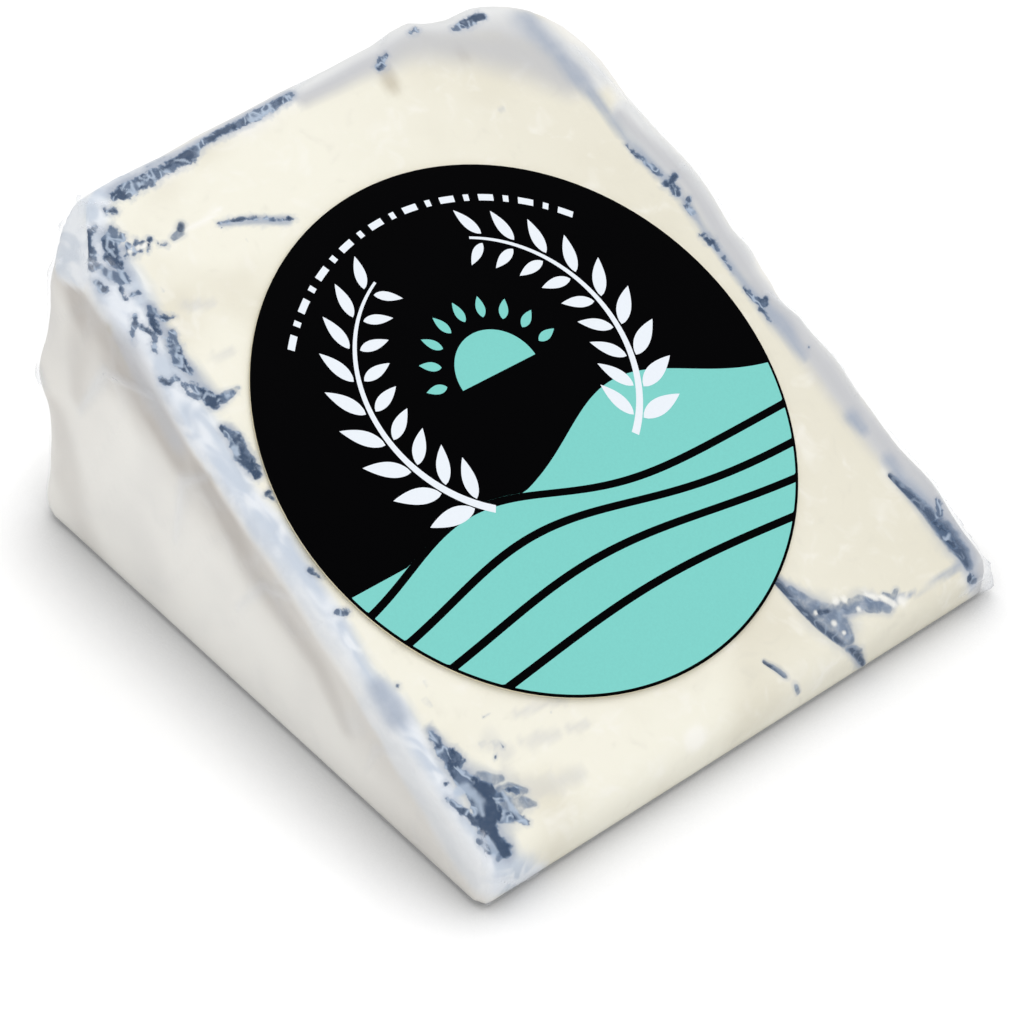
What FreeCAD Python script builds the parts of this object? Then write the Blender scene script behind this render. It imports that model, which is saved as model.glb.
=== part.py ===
"""A wedge of ash-ripened cashew cheese in clear film, with a round label on its sloping cut face.

The wedge is a slice of a small upright wheel, laid on one of its two cut faces. X runs across
the wedge, from one flat side of the wheel to the other. Y runs from the thin tip to the rim.
Z is up. The origin is the middle of the footprint, on the surface that the wedge rests on.

Pieces:
    wrapped_wedge   the cheese and the clear film drawn tight around it, one solid out to the film
    label           the round paper label, stuck on the film over the upper cut face
"""
import FreeCAD, Part
import Sketcher
import math
import os

# Driving sizes, in millimetres and degrees.
SIZES = {
    "base_length": 78.8,      # footprint, from the front of the tip to the foot of the rim
    "base_width": 77.2,       # footprint, from one flat side to the other
    "slope_angle": 27.6,      # between the two cut faces
    "tip_height": 5.8,        # where the upper cut face would meet the front of the tip
    "nose_radius": 3.6,       # rounding between the front of the tip and the upper cut face
    "rim_radius": 140.0,      # curve of the rim, seen from the side
    "rim_crown": 11.0,        # height at which the rim reaches farthest back
    "rim_turn": 2.6,          # the rim is turned about the vertical, farther back on the right
    "left_lean": 1.0,         # the left flat side leans outwards as it rises
    "right_lean": 6.0,        # the right flat side leans inwards as it rises
    "rim_round_left": 4.5,    # rounding between the rim and the left flat side
    "rim_round_right": 12.0,  # rounding between the rim and the right flat side
    "cut_round": 1.6,         # rounding along the edge of the upper cut face
    "foot_round": 0.7,        # rounding along the edge of the lower cut face
    "label_diameter": 63.5,
    "label_thickness": 0.2,
    "label_up_slope": 38.8,   # label centre, measured up the upper cut face from its front edge
    "label_aside": -3.2,      # label centre, across the wedge
    "spare": 12.0,            # left standing outside the finished wedge until it is cut away
}

SLOPE = "sizes.slope_angle * 1 deg"
TURN = "sizes.rim_turn * 1 deg"
BLOCK_HEIGHT = f"(sizes.tip_height + (sizes.base_length + sizes.spare) * tan({SLOPE}))"


def make_sheet(document):
    """Put the driving sizes into a spreadsheet, one named cell each."""
    sheet = document.addObject("Spreadsheet::Sheet", "sizes")
    for row, (name, value) in enumerate(SIZES.items(), start=1):
        sheet.set(f"A{row}", name)
        sheet.set(f"B{row}", str(value))
        sheet.setAlias(f"B{row}", name)
    document.recompute()


def add_sketch(body, name, role):
    """A sketch that lies on one of its body's own origin planes."""
    plane = next(feature for feature in body.Origin.OriginFeatures if feature.Role == role)
    sketch = body.newObject("Sketcher::SketchObject", name)
    sketch.AttachmentSupport = [(plane, "")]
    sketch.MapMode = "FlatFace"
    return sketch


def bind(sketch, name, expression, *constraint):
    """Add a constraint with a name, and let it follow the spreadsheet."""
    index = sketch.addConstraint(Sketcher.Constraint(*constraint))
    sketch.renameConstraint(index, name)
    sketch.setExpression(f"Constraints.{name}", expression)


def point(x, y):
    """A point in a sketch's own plane."""
    return FreeCAD.Vector(x, y, 0)


def arc(centre, radius, start_angle, end_angle):
    """A circular arc that turns from one angle to another, in radians."""
    circle = Part.Circle(centre, FreeCAD.Vector(0, 0, 1), radius)
    return Part.ArcOfCircle(circle, start_angle, end_angle)


def block_height():
    """Height of the uncut block at its back."""
    rise = math.tan(math.radians(SIZES["slope_angle"]))
    return SIZES["tip_height"] + (SIZES["base_length"] + SIZES["spare"]) * rise


def draw_side_profile(sketch):
    """Draw the block from its side: floor, front of the tip, nose, upper cut and a rough back."""
    front = -SIZES["base_length"] / 2
    back = SIZES["base_length"] / 2 + SIZES["spare"]
    slope = math.radians(SIZES["slope_angle"])
    nose = SIZES["nose_radius"]
    setback = nose * math.tan((math.pi / 2 - slope) / 2)
    nose_low = point(front, SIZES["tip_height"] - setback)
    nose_centre = nose_low + point(nose, 0)
    nose_high = nose_centre + point(-math.sin(slope), math.cos(slope)) * nose
    back_high = point(back, block_height())

    floor = sketch.addGeometry(Part.LineSegment(point(back, 0), point(front, 0)))
    tip = sketch.addGeometry(Part.LineSegment(point(front, 0), nose_low))
    crest = sketch.addGeometry(arc(nose_centre, nose, math.pi / 2 + slope, math.pi))
    ramp = sketch.addGeometry(Part.LineSegment(nose_high, back_high))
    rear = sketch.addGeometry(Part.LineSegment(back_high, point(back, 0)))
    corner = sketch.addGeometry(Part.Point(point(front, SIZES["tip_height"])), True)

    sketch.addConstraint([
        Sketcher.Constraint("Coincident", floor, 2, tip, 1),
        Sketcher.Constraint("Tangent", tip, 2, crest, 2),
        Sketcher.Constraint("Tangent", crest, 1, ramp, 1),
        Sketcher.Constraint("Coincident", ramp, 2, rear, 1),
        Sketcher.Constraint("Coincident", rear, 2, floor, 1),
        Sketcher.Constraint("PointOnObject", floor, 1, -1),
        Sketcher.Constraint("PointOnObject", floor, 2, -1),
        Sketcher.Constraint("Vertical", tip),
        Sketcher.Constraint("Vertical", rear),
        Sketcher.Constraint("PointOnObject", corner, 1, tip),
        Sketcher.Constraint("PointOnObject", corner, 1, ramp),
    ])
    bind(sketch, "front", "sizes.base_length / 2", "DistanceX", floor, 2, -1, 1, -front)
    bind(sketch, "back", "sizes.base_length / 2 + sizes.spare", "DistanceX", -1, 1, floor, 1, back)
    bind(sketch, "tip_height", "sizes.tip_height", "DistanceY", -1, 1, corner, 1, SIZES["tip_height"])
    bind(sketch, "nose_radius", "sizes.nose_radius", "Radius", crest, nose)
    bind(sketch, "slope_angle", SLOPE, "Angle", ramp, slope)


def draw_side_waste(sketch, side, name, lean_name):
    """Draw what is cut away outside one flat side, -1 for the left and 1 for the right."""
    lean = math.radians(SIZES[lean_name])
    half_width = SIZES["base_width"] / 2
    far = half_width + 2 * SIZES["spare"]
    height = block_height() + SIZES["spare"]
    foot = point(side * half_width, 0)
    top = foot + point(-math.tan(lean), 1) * height
    far_top = point(side * far, height)
    far_foot = point(side * far, 0)

    face = sketch.addGeometry(Part.LineSegment(foot, top))
    lid = sketch.addGeometry(Part.LineSegment(top, far_top))
    wall = sketch.addGeometry(Part.LineSegment(far_top, far_foot))
    ground = sketch.addGeometry(Part.LineSegment(far_foot, foot))
    sketch.addConstraint([
        Sketcher.Constraint("Coincident", face, 2, lid, 1),
        Sketcher.Constraint("Coincident", lid, 2, wall, 1),
        Sketcher.Constraint("Coincident", wall, 2, ground, 1),
        Sketcher.Constraint("Coincident", ground, 2, face, 1),
        Sketcher.Constraint("Horizontal", lid),
        Sketcher.Constraint("Vertical", wall),
        Sketcher.Constraint("PointOnObject", face, 1, -1),
        Sketcher.Constraint("PointOnObject", wall, 2, -1),
    ])
    from_origin = (-1, 1, face, 1) if side > 0 else (face, 1, -1, 1)
    from_foot = (face, 1, wall, 2) if side > 0 else (wall, 2, face, 1)
    bind(sketch, f"{name}_foot", "sizes.base_width / 2", "DistanceX", *from_origin, half_width)
    bind(sketch, f"{name}_reach", "2 * sizes.spare", "DistanceX", *from_foot, far - half_width)
    bind(sketch, f"{name}_height", f"{BLOCK_HEIGHT} + sizes.spare", "DistanceY", face, 1, face, 2, height)
    bind(sketch, f"{name}_lean", f"90 deg + sizes.{lean_name} * 1 deg",
         "Angle", face, math.pi / 2 + lean)


def draw_rim_waste(sketch):
    """Draw what is cut away behind the rim, which is an arc that starts at its foot."""
    foot = SIZES["base_length"] / 2 * math.cos(math.radians(SIZES["rim_turn"]))
    far = foot + 2 * SIZES["spare"]
    height = block_height() + SIZES["spare"]
    radius = SIZES["rim_radius"]
    crown = SIZES["rim_crown"]
    foot_angle = -math.asin(crown / radius)
    top_angle = math.asin((height - crown) / radius)
    centre = point(foot - radius * math.cos(foot_angle), crown)
    top = centre + point(math.cos(top_angle), math.sin(top_angle)) * radius

    rim = sketch.addGeometry(arc(centre, radius, foot_angle, top_angle))
    lid = sketch.addGeometry(Part.LineSegment(top, point(far, height)))
    wall = sketch.addGeometry(Part.LineSegment(point(far, height), point(far, 0)))
    ground = sketch.addGeometry(Part.LineSegment(point(far, 0), point(foot, 0)))
    sketch.addConstraint([
        Sketcher.Constraint("Coincident", rim, 2, lid, 1),
        Sketcher.Constraint("Coincident", lid, 2, wall, 1),
        Sketcher.Constraint("Coincident", wall, 2, ground, 1),
        Sketcher.Constraint("Coincident", ground, 2, rim, 1),
        Sketcher.Constraint("Horizontal", lid),
        Sketcher.Constraint("Vertical", wall),
        Sketcher.Constraint("PointOnObject", rim, 1, -1),
        Sketcher.Constraint("PointOnObject", wall, 2, -1),
    ])
    bind(sketch, "foot", f"sizes.base_length / 2 * cos({TURN})", "DistanceX", -1, 1, rim, 1, foot)
    bind(sketch, "reach", "2 * sizes.spare", "DistanceX", rim, 1, wall, 2, far - foot)
    bind(sketch, "height", f"{BLOCK_HEIGHT} + sizes.spare", "DistanceY", rim, 1, rim, 2, height)
    bind(sketch, "rim_radius", "sizes.rim_radius", "Radius", rim, radius)
    bind(sketch, "rim_crown", "sizes.rim_crown", "DistanceY", -1, 1, rim, 3, crown)


def kind_of(face):
    """Tell the floor, the cut (front, nose and ramp) and the rind (rim and flat sides) apart."""
    low_u, high_u, low_v, high_v = face.ParameterRange
    normal = face.normalAt((low_u + high_u) / 2, (low_v + high_v) / 2)
    if normal.z < -0.9:
        return "floor"
    if normal.y < 0.3 and abs(normal.x) < 0.3:
        return "cut"
    return "rind"


def edges_between(shape, first, second):
    """Names of the edges where one kind of face meets another."""
    names = []
    for number, edge in enumerate(shape.Edges, start=1):
        kinds = {kind_of(face) for face in shape.ancestorsOfType(edge, Part.Face)}
        if kinds == {first, second}:
            names.append(f"Edge{number}")
    return names


def upright_rim_edge(shape, side):
    """Name of the edge where the rim meets one flat side, -1 for the left and 1 for the right."""
    for number, edge in enumerate(shape.Edges, start=1):
        middle = edge.CenterOfMass
        at_corner = middle.y > SIZES["base_length"] / 4 and middle.x * side > SIZES["base_width"] / 4
        if at_corner and edge.BoundBox.ZLength > SIZES["tip_height"]:
            return f"Edge{number}"
    raise RuntimeError("the rim has no edge on this side")


def cut_away(body, name, sketch, reach):
    """Cut a sketch's outline away, as far on both sides of its plane as the reach."""
    pocket = body.newObject("PartDesign::Pocket", name)
    pocket.Profile = sketch
    pocket.SideType = "Symmetric"
    pocket.setExpression("Length", f"2 * {reach}")
    body.Document.recompute()
    return pocket


def round_edges(body, name, base, edges, radius):
    """Round some edges of the feature before."""
    fillet = body.newObject("PartDesign::Fillet", name)
    fillet.Base = (base, edges)
    fillet.setExpression("Radius", radius)
    body.Document.recompute()
    return fillet


def make_wedge(document):
    """The cheese in its film: a long block, its flat sides and rim cut, then its edges rounded."""
    body = document.addObject("PartDesign::Body", "wrapped_wedge")
    profile = add_sketch(body, "side_profile", "YZ_Plane")
    draw_side_profile(profile)
    block = body.newObject("PartDesign::Pad", "block")
    block.Profile = profile
    block.SideType = "Symmetric"
    block.setExpression("Length", "sizes.base_width + 2 * sizes.spare")

    side_waste = add_sketch(body, "side_waste", "XZ_Plane")
    draw_side_waste(side_waste, -1, "left", "left_lean")
    draw_side_waste(side_waste, 1, "right", "right_lean")
    cut_away(body, "flat_sides", side_waste, "(sizes.base_length + sizes.spare)")

    rim_waste = add_sketch(body, "rim_waste", "YZ_Plane")
    rim_waste.AttachmentOffset = FreeCAD.Placement(
        FreeCAD.Vector(0, 0, 0), FreeCAD.Rotation(FreeCAD.Vector(0, 1, 0), SIZES["rim_turn"]))
    rim_waste.setExpression("AttachmentOffset.Rotation.Angle", TURN)
    draw_rim_waste(rim_waste)
    rim = cut_away(body, "rim", rim_waste, "(sizes.base_width + sizes.spare)")

    left = round_edges(body, "rim_left", rim, [upright_rim_edge(rim.Shape, -1)], "sizes.rim_round_left")
    right = round_edges(
        body, "rim_right", left, [upright_rim_edge(left.Shape, 1)], "sizes.rim_round_right")
    cut = round_edges(
        body, "cut_edge", right, edges_between(right.Shape, "cut", "rind"), "sizes.cut_round")
    foot = edges_between(cut.Shape, "floor", "cut") + edges_between(cut.Shape, "floor", "rind")
    round_edges(body, "foot_edge", cut, foot, "sizes.foot_round")
    return body


def make_label(document):
    """The round paper label, laid face to face on the upper cut."""
    body = document.addObject("PartDesign::Body", "label")
    outline = add_sketch(body, "label_outline", "XY_Plane")
    edge = outline.addGeometry(
        Part.Circle(point(0, 0), FreeCAD.Vector(0, 0, 1), SIZES["label_diameter"] / 2))
    outline.addConstraint(Sketcher.Constraint("Coincident", edge, 3, -1, 1))
    bind(outline, "label_diameter", "sizes.label_diameter", "Diameter", edge, SIZES["label_diameter"])
    paper = body.newObject("PartDesign::Pad", "paper")
    paper.Profile = outline
    paper.setExpression("Length", "sizes.label_thickness")
    body.Placement = FreeCAD.Placement(
        FreeCAD.Vector(0, 0, 0), FreeCAD.Rotation(FreeCAD.Vector(1, 0, 0), SIZES["slope_angle"]))
    body.setExpression("Placement.Rotation.Angle", SLOPE)
    body.setExpression("Placement.Base.x", "sizes.label_aside")
    body.setExpression(
        "Placement.Base.y", f"sizes.label_up_slope * cos({SLOPE}) - sizes.base_length / 2")
    body.setExpression("Placement.Base.z", f"sizes.label_up_slope * sin({SLOPE}) + sizes.tip_height")
    return body


def check(document, pieces):
    """Stop if an object of the document failed, or a piece isn't one valid solid."""
    for item in document.Objects:
        if {"Invalid", "Error"} & set(item.State):
            raise RuntimeError(f"{item.Name} failed: {item.State}")
    for piece in pieces:
        shape = piece.Shape
        if shape.isNull() or not shape.isValid() or len(shape.Solids) != 1:
            raise RuntimeError(f"{piece.Label} isn't one valid solid")


doc = FreeCAD.newDocument("cashew_cheese_wedge")
make_sheet(doc)
pieces = [make_wedge(doc), make_label(doc)]
doc.recompute()
check(doc, pieces)
os.makedirs("parts", exist_ok=True)
for piece in pieces:
    piece.Shape.exportStep(f"parts/{piece.Label}.step")
    print(piece.Label, round(piece.Shape.Volume / 1000, 2), "cubic centimetres")
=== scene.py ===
"""Looks of a film-wrapped wedge of ash-ripened cashew cheese with a round label.

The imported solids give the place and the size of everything. Marks on the cheese are laid out in
millimetres on its upper cut face: u runs across the wedge, v up the slope from the front, and w
out of the face. Other lengths are in metres unless a name ends in _mm.
"""
import logging
import math
from collections.abc import Callable, Iterable, Sequence
from dataclasses import dataclass, field
from enum import Enum

import bpy
import numpy as np
from mathutils import Matrix, Vector
from mathutils.bvhtree import BVHTree


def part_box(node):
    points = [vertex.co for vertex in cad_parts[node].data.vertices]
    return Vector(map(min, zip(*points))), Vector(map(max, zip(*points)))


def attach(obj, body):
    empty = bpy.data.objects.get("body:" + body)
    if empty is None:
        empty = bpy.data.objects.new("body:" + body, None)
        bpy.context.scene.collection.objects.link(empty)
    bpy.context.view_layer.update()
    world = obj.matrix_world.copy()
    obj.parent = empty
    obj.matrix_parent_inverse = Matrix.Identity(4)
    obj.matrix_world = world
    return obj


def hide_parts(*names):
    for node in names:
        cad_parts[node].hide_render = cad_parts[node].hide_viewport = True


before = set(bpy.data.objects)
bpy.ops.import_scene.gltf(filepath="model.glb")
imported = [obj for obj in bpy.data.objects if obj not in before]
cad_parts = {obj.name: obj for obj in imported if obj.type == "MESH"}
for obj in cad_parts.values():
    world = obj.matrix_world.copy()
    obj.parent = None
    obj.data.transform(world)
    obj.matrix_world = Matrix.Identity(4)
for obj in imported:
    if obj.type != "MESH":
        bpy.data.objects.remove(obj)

LOG = logging.getLogger("cheese_wedge")
MM = 0.001
BODY = "root"
FAR = 6.0
LATTICE = 4096
WELD = 0.002 * MM
WHITE = (1.0, 1.0, 1.0, 1.0)
Array = np.ndarray
Piece = bpy.types.Object
Socket = bpy.types.NodeSocket
Colour = tuple[float, float, float, float]
Mark = tuple[float, float, float]
Point = tuple[float, float, float]
Place = tuple[float, float]
Spread = Callable[[Array, Array], tuple[Array, Array]]


class Slot(Enum):
    """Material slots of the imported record."""

    CHEESE = "cheese"
    FILM = "film"
    MINT = "label_mint"
    WHITE = "label_white"


def colour(red: int, green: int, blue: int) -> Colour:
    """Turn a screen colour into the linear one that a shader takes.

    Args:
        red: Red, from 0 to 255.
        green: Green, from 0 to 255.
        blue: Blue, from 0 to 255.

    Returns:
        Linear red, green and blue from 0 to 1, and an alpha of 1.
    """
    def linear(value: float) -> float:
        """Undo the screen's transfer curve for one channel."""
        return value / 12.92 if value <= 0.04045 else ((value + 0.055) / 1.055) ** 2.4

    return (linear(red / 255), linear(green / 255), linear(blue / 255), 1.0)


def smoothstep(values: Array, low: float, high: float) -> Array:
    """Rise smoothly from 0 at low to 1 at high.

    Args:
        values: Numbers to look up.
        low: Where the rise starts.
        high: Where the rise ends. Where it is below low, this is a fall.

    Returns:
        An array of the same shape, from 0 to 1.
    """
    share = np.clip((values - low) / (high - low), 0.0, 1.0)
    return share * share * (3.0 - 2.0 * share)


# ---------------------------------------------------------------- working on meshes


def pick(piece: Piece) -> None:
    """Make a piece the only selected and active object.

    Args:
        piece: Object to select.
    """
    bpy.ops.object.select_all(action="DESELECT")
    piece.select_set(True)
    bpy.context.view_layer.objects.active = piece


def apply_modifier(piece: Piece, kind: str, **settings: object) -> None:
    """Add a modifier to a piece, set it up and apply it.

    Args:
        piece: Mesh object to change.
        kind: Blender's name for the modifier type.
        settings: The modifier's own properties.
    """
    pick(piece)
    modifier = piece.modifiers.new(kind.lower(), kind)
    for name, value in settings.items():
        setattr(modifier, name, value)
    bpy.ops.object.modifier_apply(modifier=modifier.name)


def points_of(piece: Piece, kind: str = "co") -> Array:
    """Read the place, or else the normal, of each of a piece's vertices.

    Args:
        piece: Mesh object to read.
        kind: Blender's name for what is read, co or normal.

    Returns:
        An array with one row for each vertex.
    """
    flat = np.empty(len(piece.data.vertices) * 3)
    piece.data.vertices.foreach_get(kind, flat)
    return flat.reshape(-1, 3)


def put_points(piece: Piece, points: Array) -> None:
    """Write a piece's vertices back from an array."""
    piece.data.vertices.foreach_set("co", points.ravel())
    piece.data.update()


def edit_all(piece: Piece, operator: Callable, **settings: object) -> None:
    """Run one of Blender's edit-mode operators on the whole of a piece.

    Args:
        piece: Mesh object to change.
        operator: The operator.
        settings: The operator's own settings.
    """
    pick(piece)
    bpy.ops.object.mode_set(mode="EDIT")
    bpy.ops.mesh.select_all(action="SELECT")
    operator(**settings)
    bpy.ops.object.mode_set(mode="OBJECT")


def paint(piece: Piece, **masks: Array) -> None:
    """Store masks of one number for each vertex, for a material to read.

    Args:
        piece: Mesh object to store them on.
        masks: The numbers of each mask, under its name.
    """
    for name, values in masks.items():
        layer = piece.data.attributes.new(name, "FLOAT", "POINT")
        layer.data.foreach_set("value", values.astype(np.float32))


def copy_of_node(node: str, name: str, voxel: float, smoothing: int) -> Piece:
    """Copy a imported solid's mesh, merge it, and give it even faces and soft edges.

    Args:
        node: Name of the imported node.
        name: Name of the new piece.
        voxel: Size of the new faces.
        smoothing: Number of smoothing passes.

    Returns:
        The new object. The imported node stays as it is.
    """
    piece = bpy.data.objects.new(name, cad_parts[node].data.copy())
    bpy.context.scene.collection.objects.link(piece)
    piece.data.materials.clear()
    edit_all(piece, bpy.ops.mesh.remove_doubles, threshold=WELD)
    apply_modifier(piece, "REMESH", mode="VOXEL", voxel_size=voxel, adaptivity=0.0)
    apply_modifier(piece, "SMOOTH", factor=0.5, iterations=smoothing)
    return piece


def refine(piece: Piece, wanted: Array) -> None:
    """Cut the faces smaller wherever one of their corners is wanted.

    Args:
        piece: Mesh object to change.
        wanted: One true or false value for each vertex.
    """
    mesh = piece.data
    mesh.vertices.foreach_set("select", wanted)
    ends = np.empty(len(mesh.edges) * 2, int)
    mesh.edges.foreach_get("vertices", ends)
    mesh.edges.foreach_set("select", wanted[ends.reshape(-1, 2)].all(axis=1))
    for face in mesh.polygons:
        face.select = all(wanted[corner] for corner in face.vertices)
    pick(piece)
    bpy.ops.object.mode_set(mode="EDIT")
    bpy.ops.mesh.select_mode(type="FACE")
    bpy.ops.mesh.subdivide(number_cuts=1, smoothness=0.0)
    bpy.ops.object.mode_set(mode="OBJECT")


def raise_by(piece: Piece, heights: Array) -> None:
    """Move each vertex out along its normal by its own height."""
    put_points(piece, points_of(piece) + points_of(piece, "normal") * heights[:, None])


def cloud(points: Array, size: float | Point, seed: int, octaves: int = 3) -> Array:
    """Make soft noise that runs from about -1 to 1.

    Args:
        points: Where it is wanted, one row for each point.
        size: Size of its largest lumps, or their size along each axis, in the same unit.
        seed: Number that picks the pattern.
        octaves: Number of layers, each half as large and half as strong as the last.

    Returns:
        One value for each point.
    """
    rng = np.random.default_rng(seed)
    total = np.zeros(len(points))
    for octave in range(octaves):
        lattice = rng.uniform(-1.0, 1.0, LATTICE)
        place = points / np.asarray(size) * 2.0 ** octave + 64.0
        cell = np.floor(place).astype(int)
        share = place - cell
        share = share * share * (3.0 - 2.0 * share)
        layer = np.zeros(len(points))
        for corner in np.ndindex(2, 2, 2):
            at = cell + np.array(corner)
            weight = np.prod(np.where(np.array(corner) == 1, share, 1.0 - share), axis=1)
            layer += weight * lattice[(at[:, 0] * 73 + at[:, 1] * 179 + at[:, 2] * 283) % LATTICE]
        total += layer * 0.5 ** octave
    return total


# ---------------------------------------------------------------- places and marks


@dataclass(frozen=True)
class Ramp:
    """The upper cut face as a frame, with u across, v up the slope and w out of the face.

    Attributes:
        start: Its origin, straight above the front of the wedge.
        up: Direction of v.
        out: Direction of w.
        left_mm: Place of the wedge's left side on u, in millimetres.
    """

    start: Vector
    up: Vector
    out: Vector
    left_mm: float

    @classmethod
    def under_label(cls) -> "Ramp":
        """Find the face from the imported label, which lies flat on it.

        Returns:
            The frame.
        """
        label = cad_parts["label"]
        out = Vector()
        for face in label.data.polygons:
            if face.normal.z > 0.5:
                out += face.normal * face.area
        out = Vector((0.0, out.y, out.z)).normalized()
        level = min(vertex.co.dot(out) for vertex in label.data.vertices)
        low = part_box("wrapped_wedge")[0]
        start = Vector((0.0, low.y, (level - low.y * out.y) / out.z))
        return cls(start, Vector((0.0, out.z, -out.y)), out, low.x / MM)

    def measure(self, points: Array) -> Array:
        """Measure points in the frame.

        Args:
            points: Rows of x, y and z.

        Returns:
            Rows of u, v and w, in millimetres.
        """
        offset = (points - np.array(self.start)) / MM
        return np.stack(
            [offset[:, 0], offset @ np.array(self.up), offset @ np.array(self.out)], axis=1)

    def place(self, u: float, v: float) -> Vector:
        """Give the place of a point of the face whose u and v are in millimetres."""
        return self.start + Vector((u * MM, 0.0, 0.0)) + self.up * (v * MM)


class Side(Enum):
    """Faces that marks are laid out on."""

    TOP = "top"
    FRONT = "front"
    LEFT = "left"


@dataclass(frozen=True)
class Stroke:
    """A mark that follows a line.

    Attributes:
        marks: Points of two places and a half width, in millimetres. The places are u and v
            on the top, u and the drop below the top on the front, and v and the drop on the
            left.
        side: The face that it is laid out on.
    """

    marks: tuple[Mark, ...]
    side: Side = Side.TOP

    def places(self, ramp: Ramp) -> Array:
        """Turn its marks into places.

        Args:
            ramp: Frame of the upper cut face.

        Returns:
            Rows of u, v and w, in millimetres.
        """
        marks = np.array(self.marks, float)
        flat = np.zeros(len(marks))
        if self.side is Side.TOP:
            return np.column_stack([marks[:, :2], flat])
        drop = marks[:, 1]
        along = np.column_stack([flat, -drop * ramp.up.z, -drop * ramp.up.y])
        if self.side is Side.FRONT:
            return along + np.column_stack([marks[:, 0], flat, flat])
        return along + np.column_stack([flat + ramp.left_mm, marks[:, 0], flat])

    def nearness(self, ramp: Ramp, spots: Array, least: float = 0.0,
                 soft: float = 0.0) -> Array:
        """Measure how far spots are from the line, as a share of its half width there.

        Args:
            ramp: Frame of the upper cut face.
            spots: Rows of u, v and w, in millimetres.
            least: Half width that a thinner mark is taken to have, in millimetres.
            soft: Distance that counts as 1 on either side of the edge, in millimetres, or 0
                to count in half widths.

        Returns:
            1 at the edge of the mark, less inside it and more outside it.
        """
        places = self.places(ramp)
        widths = [max(mark[2], least) for mark in self.marks]
        if len(places) == 1:
            gap = np.linalg.norm(spots - places[0], axis=1)
            return 1.0 + (gap - widths[0]) / (soft or widths[0])
        best = np.full(len(spots), np.inf)
        for first in range(len(places) - 1):
            line = places[first + 1] - places[first]
            along = np.clip((spots - places[first]) @ line / (line @ line), 0.0, 1.0)
            gap = np.linalg.norm(spots - places[first] - along[:, None] * line, axis=1)
            width = widths[first] + (widths[first + 1] - widths[first]) * along
            best = np.minimum(best, 1.0 + (gap - width) / (soft or width))
        return best


def strokes(*lines: tuple[Mark, ...], side: Side = Side.TOP) -> tuple[Stroke, ...]:
    """Make one stroke from each line of marks, all on one face."""
    return tuple(Stroke(line, side) for line in lines)


def nearest(group: Iterable[Stroke], ramp: Ramp, spots: Array,
            least: float = 0.0, soft: float = 0.0) -> Array:
    """Measure how far spots are from the nearest stroke of a group.

    Args:
        group: The strokes.
        ramp: Frame of the upper cut face.
        spots: Rows of u, v and w, in millimetres.
        least: As in Stroke.nearness.
        soft: As in Stroke.nearness.

    Returns:
        The least of their nearnesses, or FAR where all are farther than that.
    """
    best = np.full(len(spots), FAR)
    for stroke in group:
        best = np.minimum(best, stroke.nearness(ramp, spots, least, soft))
    return best


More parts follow.
